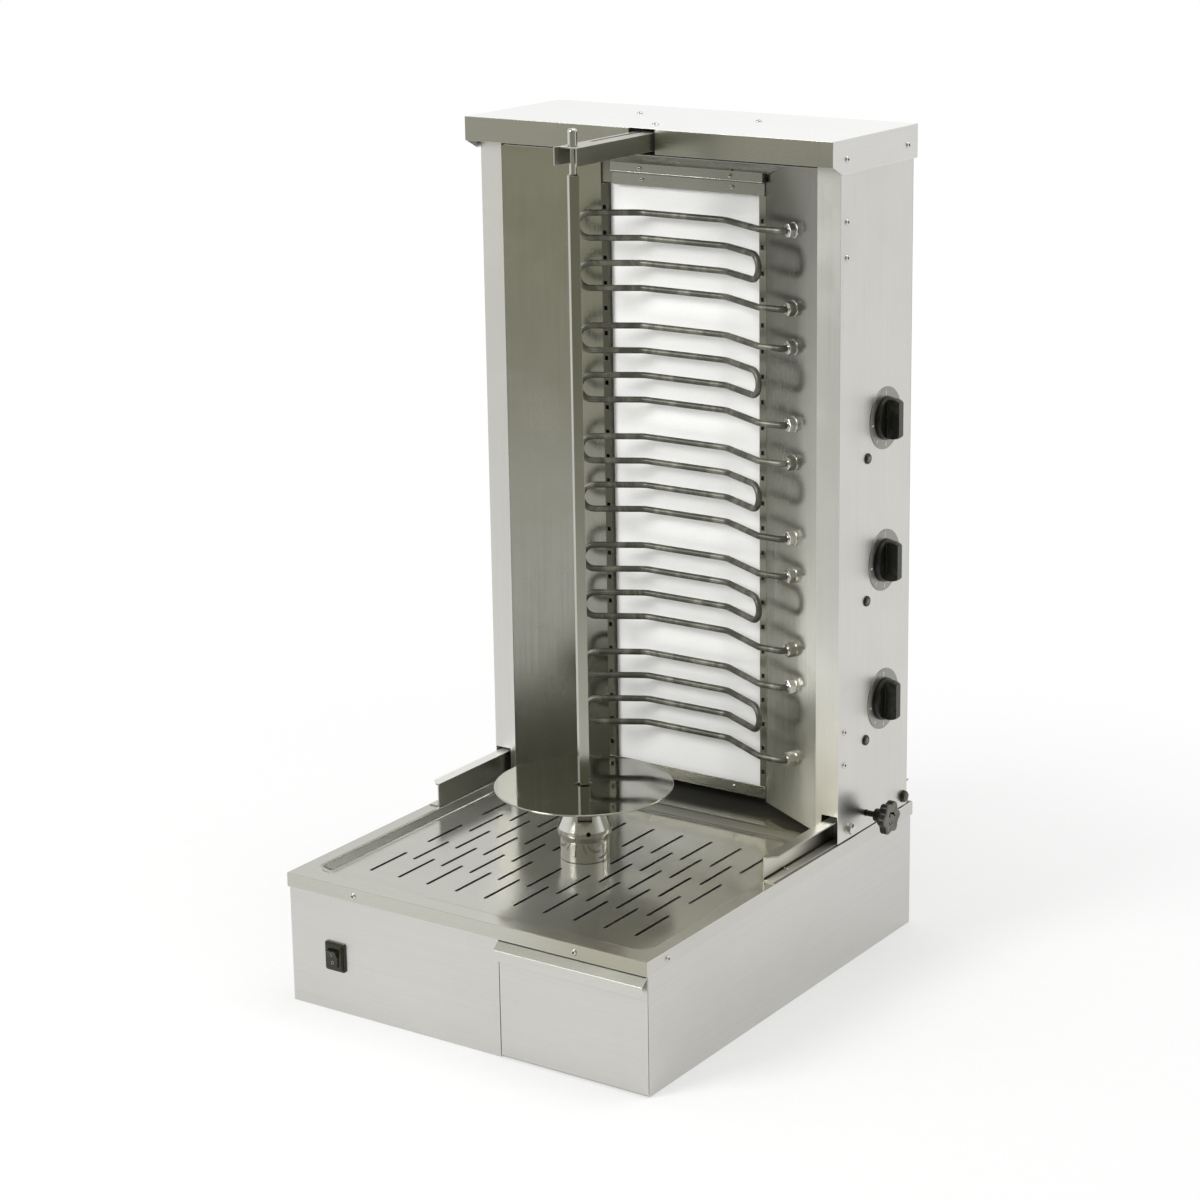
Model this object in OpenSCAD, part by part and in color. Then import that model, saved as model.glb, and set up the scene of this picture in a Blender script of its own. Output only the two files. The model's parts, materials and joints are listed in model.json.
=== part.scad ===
// Electric upright skewer grill: a heated tower on rails, a driven spit, a slotted deck and a drip drawer.
// Origin: middle of the base's underside. +Z is up, the front looks along -Y.

/* [Base] */
// Width of the base over its cover
base_w = 555; // [540:1:620]
// Depth of the base over its cover
base_d = 655; // [640:1:700]
// Height of the base with its cover
base_h = 176; // [170:1:200]
// Thickness of the base's sheet steel
sheet_t = 1.5; // [1:0.1:2]
// Height of the cover's turned-down lip
cover_lip_h = 19; // [14:1:24]
// Play between the cover's lip and the body below it
cover_play = 0.5; // [0.3:0.1:1]
// Diameter of the cover screws' heads
cover_screw_d = 8; // [6:0.5:10]
// Distance of the side screws from the cover's front
cover_screw_inset = 44; // [30:1:60]

/* [Deck] */
// Width of the flat rim beside the recess
rim_side_w = 20.5; // [20.5:0.5:30]
// Width of the flat rim in front of the recess
rim_front_w = 27; // [22:1:34]
// Width of the flat rim behind the recess
rim_rear_w = 188; // [180:1:220]
// Depth of the recess
recess_depth = 10; // [6:0.5:14]
// Width that the recess's sloping wall covers
recess_run = 10; // [6:0.5:14]
// Corner radius of the recess
recess_corner_r = 20; // [12:1:28]
// Length of one drain slot
slot_l = 77; // [60:1:90]
// Width of one drain slot
slot_w = 4.6; // [4:0.1:6]
// Spacing of the slot columns
slot_step_x = 22.9; // [20:0.1:24]
// Spacing of the slots in one column
slot_step_y = 121.5; // [115:0.5:130]
// Distance of the first slots from the floor's front edge
slot_front_gap = 44; // [30:1:50]
// Number of slot columns on each side of the middle one
slot_side_columns = 9; // [6:1:9]

/* [Drawer] */
// Distance from the middle of the base to the drawer's left edge
drawer_from_mid = 57.5; // [50:0.5:75]
// Gap between the drawer's front and the cover's lip
drawer_lip_gap = 1.5; // [1:0.5:6]
// Depth of the drawer's tray
drawer_d = 330; // [250:1:360]
// Height of the tray's sides
tray_h = 92; // [60:1:120]
// How far the handle edge stands out
handle_out = 12; // [8:0.5:16]
// Height of the handle's slope
handle_drop = 8; // [6:0.5:14]
// Height of the handle's turned-down edge
handle_edge_h = 13; // [10:0.5:20]
// Gap round the drawer's front
drawer_gap = 1; // [0.6:0.1:2]
// Height of the two runners
runner_h = 34; // [20:1:50]
// Width of the runners' bottom flanges
runner_w = 18; // [12:1:24]

/* [Spit drive] */
// Distance of the spit's axis from the front of the base
spit_from_front = 271.5; // [260:0.5:290]
// Diameter of the driven hub at its widest
hub_d = 71; // [69:1:80]
// Diameter of the hub's lower barrel
hub_barrel_d = 64; // [58:1:68]
// Diameter of the hub's top face
hub_top_d = 50; // [48:1:60]
// Height of the hub
hub_h = 65.6; // [60:0.1:75]
// Height of the hub's barrel
hub_barrel_h = 27; // [22:0.5:28]
// Height of the hub's widest band above its foot
hub_band_h = 39; // [34:0.5:42]
// Width of the drive slot across the hub
hub_slot_w = 18; // [14:0.5:22]
// Depth of the drive slot
hub_slot_depth = 10; // [9:0.5:11]
// Direction of the drive slot, turned from the front
hub_slot_turn = 36; // [0:1:90]
// Direction of the hub's screw, turned from the front
hub_screw_turn = 43; // [0:1:90]
// Diameter of the hub's screw
hub_screw_d = 6; // [5:0.5:8]
// Diameter of the drive shaft
shaft_d = 16; // [14:0.5:20]
// Length of the shaft inside the hub
shaft_grip = 46; // [38:1:46]
// Gap between the hub and the deck
hub_lift = 0.4; // [0.3:0.1:1]
// Diameter of the clearance hole in the deck
deck_hole_d = 30; // [28:1:40]
// Width of the gear housing
gear_w = 84; // [70:1:90]
// Depth of the gear housing
gear_d = 104; // [90:1:120]
// Height of the gear housing
gear_h = 36; // [30:1:45]
// Diameter of the motor can
motor_d = 64; // [50:1:68]
// Height of the motor can
motor_h = 58; // [40:1:70]
// Height of the bracket's top face below the deck
bracket_drop = 12; // [9:1:20]
// Thickness of the bracket
bracket_t = 3; // [2:0.5:4]
// Depth between the bracket's legs
bracket_d = 130; // [124:1:150]
// Width of the bracket's feet
bracket_foot = 16; // [12:1:20]
// Outside diameter of the shaft's bush
bush_d = 24; // [21:0.5:26]
// Diameter of the bush's flange
bush_flange_d = 34; // [28:1:40]
// Thickness of the bush's flange
bush_flange_t = 3; // [2:0.5:4]

/* [Spit] */
// Side of the square spit bar
bar_w = 13; // [12.5:0.5:16]
// Direction of one face of the bar, turned from the front
bar_turn = 47; // [0:1:90]
// Distance from the cap's top down to the bar's top
bar_top_gap = 39; // [34:1:60]
// Length of the drive key across the hub
key_l = 46; // [36:1:46]
// Play of the drive key in its slot
key_play = 0.3; // [0.3:0.1:0.6]
// Diameter of the spit's round tail
tail_d = 16; // [12:1:18]
// Length of the spit's tail below the key
tail_l = 8; // [6:1:8]
// Diameter of the meat disc
disc_d = 234; // [200:1:240]
// Thickness of the meat disc
disc_t = 2.5; // [1.5:0.5:4]
// Height of the disc's top above the hub
disc_lift = 33; // [28:1:60]
// Diameter of the collar under the disc
collar_d = 36; // [28:1:40]
// Height of the collar
collar_h = 12; // [8:1:16]
// How far the spit lifts to come out of the hub
spit_travel = 30; // [28:1:32]

/* [Support arm] */
// Width of the arm
arm_w = 32; // [30:1:36]
// Height of the arm's flanges
arm_h = 23; // [18:1:26]
// Thickness of the arm's sheet
arm_t = 2; // [1.5:0.5:3]
// Depth of the arm's top below the cap's top
arm_drop = 5; // [4.5:0.5:8]
// How far the long flange reaches past the pin
arm_long_tip = 19; // [12:1:26]
// How far the web reaches past the pin
arm_web_tip = 7.5; // [7.5:0.5:14]
// How far the short flange reaches past the pin
arm_short_tip = 14.5; // [0:0.5:16]
// Length of the arm behind the pin
arm_back_l = 261; // [250:1:280]
// Width of the slot in the web
arm_slot_w = 5.4; // [5.2:0.1:7]
// Distance of the slot from the middle of the web
arm_slot_side = 7; // [0:0.5:8]
// Distance from the pin to the front of the slot
arm_slot_gap = 49; // [20:1:80]
// Distance from the cap's front to the guide screw
guide_screw_back = 43; // [30:1:60]
// Diameter of the guide screw
guide_screw_d = 5; // [4:0.5:5]
// Diameter of the top pin
pin_d = 9; // [8:0.5:10]
// Diameter of the top pin's head
pin_head_d = 12.5; // [12:0.5:16]
// Height of the top pin's head
pin_head_h = 22; // [16:1:28]
// Depth that the pin reaches into the bar
pin_reach = 12; // [8:1:16]
// How far the pin lifts
pin_travel = 30; // [24:1:32]

/* [Tower] */
// Height of the whole grill at the cap's top
total_h = 1100; // [1095:1:1160]
// Depth of the tower
tower_d = 187; // [180:1:200]
// Distance of the tower's back from the base's back
tower_rear_gap = 15.5; // [12:0.5:30]
// Distance that each side of the tower stands in from the base's side
tower_side_in = 1; // [0.5:0.5:2]
// Gap between the tower and the deck
tower_lift = 1.5; // [1:0.5:3]
// Thickness of the tower's sheet steel
tower_t = 1.2; // [1:0.1:1.5]
// Width of the side panels' front flanges
front_flange_w = 34; // [30:1:40]
// Width of the side panels' back flanges
back_flange_w = 16; // [12:1:24]
// Width of the notch over each rail
notch_gap = 6; // [4:0.5:8]
// How far the cap stands out at each side
cap_side_out = 4.5; // [3:0.5:8]
// How far the cap stands out at the front
cap_front_out = 28; // [20:1:34]
// How far the cap stands out at the back
cap_back_out = 2; // [1.5:0.5:6]
// Height of the cap's front skirt
cap_front_h = 32; // [28:1:36]
// Height of the cap's side skirts
cap_side_h = 44; // [36:1:50]
// Width of the cap's arm notch on each side of the arm
cap_notch_side = 4; // [3:0.5:8]
// Depth of the arm notch in the cap's top
cap_notch_d = 8; // [4:1:14]
// How far the tower slides forward
tower_travel = 100; // [60:1:104]

/* [Heated recess] */
// Width between the back edges of the slanted walls
recess_back_w = 256; // [240:1:270]
// Depth of the heated recess
recess_back_d = 65; // [55:1:75]
// Width of the flat strips beside the back panel
strip_w = 10; // [8:1:14]
// Thickness of the reflector sheets
reflector_t = 1; // [0.8:0.1:1.2]
// Height of the reflectors' lower edge above the deck
reflector_lift = 12; // [8:1:20]
// Side of the square vents in the strips
vent_w = 5; // [4:0.5:7]
// Spacing of the square vents
vent_step = 34; // [30:1:40]
// Thickness of the back panel
panel_t = 8; // [6:1:12]
// Gap between the strips and the back panel
panel_gap = 9; // [3:0.5:12]
// Height of the lower trim
low_trim_h = 16; // [12:1:22]
// Height of the lower trim above the reflectors' lower edge
low_trim_lift = 6; // [3:0.5:10]
// Height of the upper trim's lower band
top_trim_h = 18; // [14:1:24]
// Height of the upper trim's upper band
top_band_h = 12; // [10:1:16]
// Step between the upper trim's two bands
top_trim_step = 5; // [3:0.5:8]
// Height of the upper trim's slope
top_slope_h = 20; // [14:1:30]
// Gap at the left end of the upper trim
top_trim_gap = 18; // [10:0.5:20]

/* [Heating elements] */
// Diameter of the heating tube
tube_d = 8.5; // [6.5:0.5:8.5]
// Distance from the cap's top to the middle of the top element
element_top_gap = 173; // [165:1:190]
// Distance from the deck to the middle of the lowest element
element_low_gap = 147; // [130:1:160]
// Space between the nearest runs of two neighbouring elements
element_space = 50.5; // [40:0.5:60]
// Length of the elements' flat middle
element_mid_l = 130; // [120:1:140]
// Length of the elements' slanted ends
element_wing_l = 86; // [80:1:90]
// Distance from the strips to the tube's middle
element_gap = 9; // [8:0.5:14]
// Sideways place of the elements' middle
element_shift = 8; // [0:1:10]
// Bend radius where the tube turns to the slant
wide_bend_r = 24; // [16:1:32]
// Bend radius of the tube's leads
lead_bend_r = 9; // [8:1:12]
// Length of tube behind the wall
tube_tail = 34; // [24:1:40]
// Width across the flats of the gland nuts
gland_nut_w = 17; // [14:1:20]
// Length of a gland nut
gland_nut_l = 10; // [6:0.5:11]

/* [Controls] */
// Height of the lowest knob above the deck
knob_low_gap = 170; // [155:1:200]
// Spacing of the knobs
knob_pitch = 190.5; // [150:0.5:195]
// Distance of the knobs from the tower's back
knob_from_back = 69; // [62:1:100]
// Diameter of the dial plates
dial_d = 82; // [70:1:90]
// Thickness of the dial plates
dial_t = 1.2; // [0.8:0.1:2]
// Diameter of a knob's skirt
knob_d = 57; // [44:1:60]
// Height of a knob's skirt
knob_skirt_h = 8; // [6:0.5:12]
// Width of a knob's grip
grip_w = 15; // [12:0.5:18]
// Height of a knob's grip above the skirt
grip_h = 14; // [10:0.5:18]
// Largest turn of a knob
knob_turn = 270; // [180:5:300]
// Distance from a knob down to its lamp
lamp_drop = 45; // [42:1:60]
// Distance from a knob forward to its lamp
lamp_forward = 46; // [40:1:60]
// Diameter of a pilot lamp
lamp_d = 14; // [10:0.5:16]
// Width of the switch's frame
switch_w = 32; // [28:0.5:36]
// Height of the switch's frame
switch_h = 39; // [34:0.5:44]
// Distance of the switch from the base's left side
switch_from_side = 75; // [60:1:120]
// Height of the switch's middle
switch_z = 76; // [60:1:100]
// Tilt of the rocker from its middle
rocker_tilt = 9; // [6:0.5:10]

/* [Rails and clamp] */
// Height of the rails
rail_h = 33; // [30:1:36]
// Width of the rails
rail_w = 16.5; // [15:0.5:16.5]
// Thickness of the rails
rail_t = 2; // [1.5:0.5:2]
// Distance of the rails' front ends in front of the tower
rail_front_l = 157; // [150:1:170]
// Length of the rails behind the tower's front
rail_back_l = 197; // [196:1:200]
// Length cut off the flanges' front corners
rail_corner = 12; // [6:1:14]
// Distance of the front rail screws from the rails' front ends
rail_screw_in = 47; // [20:1:50]
// Play of the slide blocks in the rails
rail_play = 0.3; // [0.3:0.1:0.6]
// Distance of the front guide bolts behind the tower's front
guide_front = 30; // [24:1:40]
// Distance of the rear guide bolts behind the tower's front
guide_rear = 176; // [160:1:176]
// Width across the flats of the guide bolts
guide_bolt_w = 13; // [10:1:13]
// Distance of the clamp knob behind the tower's front
clamp_back = 75; // [60:1:100]
// Diameter of the clamp knob
clamp_d = 46; // [36:1:50]
// Thickness of the clamp knob's star
clamp_h = 16; // [12:1:20]
// Distance of the clamp knob's face from the panel
clamp_out = 40; // [34:1:46]
// Diameter of the clamp's stem
clamp_stem_d = 8; // [6:0.5:10]
// Number of lobes on the clamp knob
clamp_lobes = 6; // [5:1:8]

/* [Small hardware] */
// Diameter of the tower's screw heads
small_head_d = 7; // [6:0.5:9]
// Height of the dome-shaped screw heads
small_head_h = 2; // [1.5:0.5:3]
// Diameter of the small screws' shanks
small_shank_d = 4; // [3:0.5:4.5]
// Length of the small screws' shanks
small_shank_l = 8; // [6:1:10]
// Diameter of the cable gland's bore
gland_bore_d = 12; // [8:0.5:14]
// Width across the flats of the cable gland
gland_w = 24; // [20:1:28]

/* [Hidden] */

// Overrun of every cut
cut = 1;
// Radial play of a shaft in its hole
run_play = 0.05;
// Gap between faces that slide on each other
slide_gap = 0.3;
// Number of heating elements and of knobs, each a node of its own
element_count = 5;
knob_count = 3;
// Radial play of the clamp's stem in the side panel
clamp_play = 1;
// Smoothness of round shapes
$fn = 48;

// Places and sizes that follow from the driving dimensions
base_front = -base_d / 2;
base_back = base_d / 2;
body_half_w = base_w / 2 - sheet_t - cover_play;
body_front = base_front + sheet_t + cover_play;
body_back = -body_front;
deck_under = base_h - sheet_t;
floor_top = base_h - recess_depth;
floor_under = floor_top - sheet_t;
recess_half_w = base_w / 2 - rim_side_w;
recess_front = base_front + rim_front_w;
recess_back = base_back - rim_rear_w;
floor_half_w = recess_half_w - recess_run;
floor_front = recess_front + recess_run;
axis_y = base_front + spit_from_front;

drawer_right = body_half_w;
drawer_left = drawer_from_mid;
drawer_bottom = 2 * sheet_t;
drawer_top = base_h - cover_lip_h - drawer_lip_gap;

hub_foot = floor_top + hub_lift;
hub_top = hub_foot + hub_h;
disc_z = hub_top + disc_lift;
bar_top_z = total_h - bar_top_gap;
slot_floor = hub_top - hub_slot_depth;
bracket_top = floor_under - bracket_drop;
shaft_low = bracket_top - bracket_t - gear_h / 2;
shaft_high = hub_foot + shaft_grip;
socket_floor = slot_floor - tail_l - key_play;

tower_half_w = base_w / 2 - tower_side_in;
tower_back = base_back - tower_rear_gap;
tower_front = tower_back - tower_d;
tower_foot = base_h + tower_lift;
tower_top = total_h - tower_t;
open_half_w = tower_half_w - front_flange_w;
cap_half_w = tower_half_w + cap_side_out;
cap_front = tower_front - cap_front_out;
cap_back = tower_back + cap_back_out;

wall_front = tower_front + tower_t;
wall_back = tower_front + recess_back_d;
wall_back_half = recess_back_w / 2;
wall_angle = atan2(wall_back - wall_front, open_half_w - wall_back_half);
panel_front = wall_back + panel_gap;
reflector_foot = base_h + reflector_lift;
ceiling_z = total_h - cap_side_h + 4 * tower_t;
low_trim_foot = reflector_foot + low_trim_lift;
low_trim_top = low_trim_foot + low_trim_h;
top_trim_top = ceiling_z - top_slope_h - top_band_h;
top_trim_foot = top_trim_top - top_trim_h;

element_y = wall_back - element_gap;
element_top_z = total_h - element_top_gap;
element_pitch = (element_top_z - base_h - element_low_gap) / (element_count - 1);
run_step = (element_pitch - element_space) / 3;
wing_end_y = element_y - element_wing_l * sin(wall_angle);
// A lead turns towards the wall just outside its gland
lead_gap = 2 * reflector_t + gland_nut_l + slide_gap + lead_bend_r * tan((90 - wall_angle) / 2);
lead_y = wing_end_y + lead_gap * cos(wall_angle);
lead_x = wall_back_half + (wall_back - lead_y) / tan(wall_angle);

knob_y = tower_back - knob_from_back;
knob_low_z = base_h + knob_low_gap;
lamp_y = knob_y - lamp_forward;
side_face = tower_half_w;
switch_x = -base_w / 2 + switch_from_side;

arm_top = total_h - arm_drop;
arm_under = arm_top - arm_t;
arm_foot = arm_top - arm_h;
guide_y = cap_front + guide_screw_back;

rail_inner = recess_half_w + rail_t / 4;
rail_outer = rail_inner + rail_w;
rail_top = base_h + rail_h;
rail_front = tower_front - rail_front_l;
rail_back = tower_front + rail_back_l;
block_in = rail_inner + rail_t + rail_play;
block_out = tower_half_w - tower_t;
block_foot = base_h + rail_t + rail_play;
block_top = rail_top - rail_t - rail_play;
block_mid = (block_foot + block_top) / 2;
guide_z = base_h + rail_h * 0.45;
clamp_z = block_top - clamp_stem_d;

function unit(v) = v / norm(v);
function side_of(a, b) = let (d = unit(b - a)) [-d[1], d[0]];
function corner_out(pts, i, t) = let (
    n1 = i > 0 ? side_of(pts[i - 1], pts[i]) : side_of(pts[0], pts[1]),
    n2 = i < len(pts) - 1 ? side_of(pts[i], pts[i + 1]) : n1,
    m = unit(n1 + n2)) pts[i] + m * t / (m * n1);

// A sheet folded along a line of points, with its thickness to the left of the line
module folded(pts, t) {
    polygon(concat(pts, [for (i = [len(pts) - 1:-1:0]) corner_out(pts, i, t)]));
}

// A sheet folded in plan and standing from one height to another
module standing(pts, t, low, high) {
    translate([0, 0, low]) linear_extrude(high - low) folded(pts, t);
}

// A profile in Y and Z drawn out along X from one side to the other
module along_x(x_low, x_high) {
    translate([x_low, 0, 0]) rotate([90, 0, 90]) linear_extrude(x_high - x_low) children();
}

// A profile in X and Z drawn out along Y
module along_y(y_low, y_high) {
    translate([0, y_high, 0]) rotate([90, 0, 0]) linear_extrude(y_high - y_low) children();
}

// A block given by its two corners
module block(low, high) {
    translate(low) cube(high - low);
}

module rounded_plate(half_w, y_low, y_high, r) {
    hull() for (x = [-half_w + r, half_w - r], y = [y_low + r, y_high - r])
        translate([x, y]) circle(r = r, $fn = 32);
}

// A round bar along one direction in plan or straight up, from a point
module rod(from, turn, tilt, d, l) {
    translate(from) rotate([0, 0, turn]) rotate([0, tilt, 0]) cylinder(d = d, h = l);
}

// A dome-headed screw whose head stands on a face at a point and looks along +X before it is turned
module dome_screw(at, turn, tilt, head_d = small_head_d, shank_l = small_shank_l, shank_d = small_shank_d) {
    translate(at) rotate([0, 0, turn]) rotate([0, tilt, 0]) {
        rotate_extrude() polygon([[0, 0], [head_d / 2, 0], [head_d / 2, small_head_h / 4],
            [head_d / 3, small_head_h * 0.8], [head_d / 6, small_head_h], [0, small_head_h]]);
        translate([0, 0, -shank_l]) cylinder(d = shank_d, h = shank_l);
    }
}

// A hole for such a screw
module screw_hole(at, turn, tilt, shank_l = small_shank_l) {
    translate(at) rotate([0, 0, turn]) rotate([0, tilt, 0]) translate([0, 0, -shank_l - cut])
        cylinder(r = small_shank_d / 2 + run_play, h = shank_l + 2 * cut);
}

// A bend is a little thicker than the straight tubes that run into it
bend_swell = 0.2;
tube_lap = 0.5;

// Length that a bend between two directions in plan takes from each side
function bend_use(a, b, c, r) = let (u = unit(b - a), v = unit(c - b)) r * tan(acos(u * v) / 2);
function turn_of(a, b) = atan2(b[1] - a[1], b[0] - a[0]);

module plan_bend(a, b, c, r, d) {
    u = turn_of(a, b);
    v = turn_of(b, c);
    raw = v - u;
    turn = raw > 180 ? raw - 360 : raw < -180 ? raw + 360 : raw;
    start = b - unit(b - a) * bend_use(a, b, c, r);
    hand = turn > 0 ? 1 : -1;
    centre = start + hand * r * [-sin(u), cos(u)];
    first = turn > 0 ? u - 90 : v + 90;
    translate([centre[0], centre[1], 0]) rotate([0, 0, first])
        rotate_extrude(angle = abs(turn)) translate([r, 0]) circle(d = d + bend_swell, $fn = 24);
}

module plan_rod(a, b, d) {
    translate([a[0], a[1], 0]) rotate([0, 0, turn_of(a, b)]) rotate([0, 90, 0])
        cylinder(d = d, h = norm(b - a), $fn = 24);
}

// A tube bent in plan through points, each inner one with its own bend radius
module plan_tube(pts, radii, d) {
    last = len(pts) - 1;
    used = [for (i = [0:last]) i == 0 || i == last ? 0 : bend_use(pts[i - 1], pts[i], pts[i + 1], radii[i])];
    for (i = [0:last - 1]) {
        way = unit(pts[i + 1] - pts[i]);
        plan_rod(pts[i] + way * (used[i] - tube_lap), pts[i + 1] - way * (used[i + 1] - tube_lap), d);
    }
    for (i = [1:last - 1]) plan_bend(pts[i - 1], pts[i], pts[i + 1], radii[i], d);
}

// Base

// Places of the cover's screws as point, turn and tilt
cover_screw_z = base_h - cover_lip_h / 2 - cover_screw_d / 8;
cover_screw_shares = [-0.305, 0.309];
cover_screw_ys = [base_front + cover_screw_inset, base_back - cover_screw_inset];
cover_screw_places = concat(
    [for (q = cover_screw_shares) [[q * base_w, base_front, cover_screw_z], -90]],
    [for (q = cover_screw_shares) [[q * base_w, base_back, cover_screw_z], 90]],
    [for (y = cover_screw_ys) [[base_w / 2, y, cover_screw_z], 0]],
    [for (y = cover_screw_ys) [[-base_w / 2, y, cover_screw_z], 180]]);

module base_shell() color("gainsboro") difference() {
    block([-body_half_w, body_front, 0], [body_half_w, body_back, deck_under]);
    block([-body_half_w + sheet_t, body_front + sheet_t, -cut],
        [body_half_w - sheet_t, body_back - sheet_t, deck_under + cut]);
    // Opening for the drawer, with the side wall's edge set back behind the drawer's front
    block([drawer_left - drawer_gap, body_front - cut, -cut],
        [drawer_right + cut, body_front + sheet_t + drawer_gap, drawer_top + drawer_gap]);
    // Cut-out for the switch
    switch_hole_w = switch_body_w / 2 + run_play;
    switch_hole_h = switch_body_h / 2 + run_play;
    block([switch_x - switch_hole_w, body_front - cut, switch_z - switch_hole_h],
        [switch_x + switch_hole_w, body_front + sheet_t + cut, switch_z + switch_hole_h]);
    for (p = cover_screw_places) screw_hole(p[0], p[1], 90);
    translate([gland_x, body_back + cut, gland_z]) rotate([90, 0, 0])
        cylinder(r = gland_thread_d / 2 + run_play, h = sheet_t + 2 * cut);
    for (x = [-1, 1], i = [0:4]) block(
        [x * vent_x - vent_l / 2, body_back - sheet_t - cut, vent_low_z + i * vent_gap_z],
        [x * vent_x + vent_l / 2, body_back + cut, vent_low_z + i * vent_gap_z + slot_w]);
}

// Vents in the base's rear wall
vent_x = base_w * 0.11;
vent_l = base_w * 0.14;
vent_low_z = base_h * 0.3;
vent_gap_z = 3 * slot_w;

module base_plate() color("silver") difference() {
    block([-body_half_w + sheet_t + run_play, body_front + 2 * sheet_t + drawer_gap, 0],
        [body_half_w - sheet_t - run_play, body_back - sheet_t - run_play, sheet_t]);
    for (x = [-1, 1], y = [0:5])
        translate([-base_w / 4 + x * vent_x / 2, y * slot_step_x - base_d / 5, -cut])
            linear_extrude(sheet_t + 2 * cut) square([vent_x / 2, slot_w], center = true);
}

module recess_form(grow, low, high) {
    hull() {
        translate([0, 0, low]) linear_extrude(sheet_t / 10)
            rounded_plate(floor_half_w + grow, floor_front - grow, recess_back - recess_run + grow,
                recess_corner_r + grow);
        translate([0, 0, high]) linear_extrude(sheet_t / 10)
            rounded_plate(recess_half_w + grow, recess_front - grow, recess_back + grow,
                recess_corner_r + grow);
    }
}

// Drain slots stand in staggered columns, and the columns next to the hub leave some out
module drain_slots() {
    for (k = [-slot_side_columns:slot_side_columns]) {
        odd = abs(k) % 2 == 1;
        rows = odd ? [0, 1, 2] : [0, 1];
        for (j = rows) {
            kept = !(j == 1 && abs(k) < 2);
            y = floor_front + slot_front_gap + slot_l / 2 + (odd ? j : j + 0.5) * slot_step_y;
            if (kept) translate([k * slot_step_x, y, floor_under - cut]) linear_extrude(sheet_t + 2 * cut) {
                square([slot_w, slot_l - slot_w], center = true);
                for (e = [-1, 1]) translate([0, e * (slot_l - slot_w) / 2]) circle(d = slot_w, $fn = 16);
            }
        }
    }
}

module deck_cover() color("lightgray") difference() {
    union() {
        difference() {
            block([-base_w / 2, base_front, base_h - cover_lip_h], [base_w / 2, base_back, base_h]);
            block([-base_w / 2 + sheet_t, base_front + sheet_t, base_h - cover_lip_h - cut],
                [base_w / 2 - sheet_t, base_back - sheet_t, deck_under]);
        }
        recess_form(sheet_t / 2, floor_under, deck_under);
    }
    recess_form(-sheet_t / 2, floor_top, base_h);
    drain_slots();
    translate([0, axis_y, floor_under - cut]) cylinder(d = deck_hole_d, h = sheet_t + 2 * cut);
    for (p = cover_screw_places) screw_hole(p[0], p[1], 90);
}

module cover_screws() color("silver") for (p = cover_screw_places) dome_screw(p[0], p[1], 90, cover_screw_d);

// Drawer

tray_left = drawer_left + runner_w / 3;
tray_right = drawer_right - sheet_t - runner_w / 3;
tray_foot = 2 * sheet_t + slide_gap;
tray_front = body_front + sheet_t;
handle_z = drawer_top - sheet_t - handle_drop;

module drip_drawer() color("lightgray") {
    // Front panel with its handle, which is folded outwards and down
    along_x(drawer_left, drawer_right) folded([
        [body_front, drawer_bottom],
        [body_front, drawer_top - sheet_t],
        [body_front - sheet_t, drawer_top - sheet_t],
        [body_front - handle_out + sheet_t, handle_z],
        [body_front - handle_out + sheet_t, handle_z - handle_edge_h]], -sheet_t);
    // Tray
    difference() {
        block([tray_left, tray_front, tray_foot], [tray_right, tray_front + drawer_d, tray_foot + tray_h]);
        block([tray_left + sheet_t, tray_front + sheet_t, tray_foot + sheet_t],
            [tray_right - sheet_t, tray_front + drawer_d - sheet_t, tray_foot + tray_h + cut]);
    }
}

// A runner is an angle that stands on the bottom plate beside the tray
module runner(x_wall, hand) {
    y_low = tray_front + runner_w;
    y_high = tray_front + drawer_d;
    along_y(y_low, y_high) polygon([[x_wall, sheet_t], [x_wall, sheet_t + runner_h],
        [x_wall + hand * sheet_t, sheet_t + runner_h], [x_wall + hand * sheet_t, 2 * sheet_t],
        [x_wall + hand * runner_w, 2 * sheet_t], [x_wall + hand * runner_w, sheet_t]]);
}

module runner_left() color("darkgray") runner(tray_left - drawer_gap - sheet_t, 1);
module runner_right() color("darkgray") runner(tray_right + drawer_gap + sheet_t, -1);

// Spit drive

module gear_motor() color("dimgray") translate([0, axis_y, 0]) difference() {
    union() {
        block([-gear_w / 2, -gear_d / 2, bracket_top - bracket_t - gear_h],
            [gear_w / 2, gear_d / 2, bracket_top - bracket_t]);
        translate([0, 0, bracket_top - bracket_t - gear_h - motor_h]) cylinder(d = motor_d, h = motor_h);
    }
    translate([0, 0, shaft_low]) cylinder(r = shaft_d / 2 + run_play, h = gear_h);
}

module motor_bracket() color("gray") translate([0, axis_y, 0]) difference() {
    along_x(-gear_w / 2, gear_w / 2) folded([
        [-bracket_d / 2 - bracket_foot, sheet_t],
        [-bracket_d / 2, sheet_t],
        [-bracket_d / 2, bracket_top - bracket_t],
        [bracket_d / 2, bracket_top - bracket_t],
        [bracket_d / 2, sheet_t],
        [bracket_d / 2 + bracket_foot, sheet_t]], bracket_t);
    translate([0, 0, bracket_top - bracket_t - cut])
        cylinder(r = bush_d / 2 + run_play / 2, h = bracket_t + 2 * cut);
}

module shaft_bush() color("darkgoldenrod") translate([0, axis_y, bracket_top]) difference() {
    union() {
        translate([0, 0, -bracket_t]) cylinder(d = bush_d, h = bracket_t + bush_flange_t);
        cylinder(d = bush_flange_d, h = bush_flange_t);
    }
    translate([0, 0, -bracket_t - cut])
        cylinder(r = shaft_d / 2 + run_play, h = bracket_t + bush_flange_t + 2 * cut);
}

module drive_shaft() color("silver") translate([0, axis_y, shaft_low + run_play])
    cylinder(d = shaft_d, h = shaft_high - shaft_low - 2 * run_play);

hub_screw_z = hub_foot + shaft_grip - hub_screw_d * 0.75;

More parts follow.
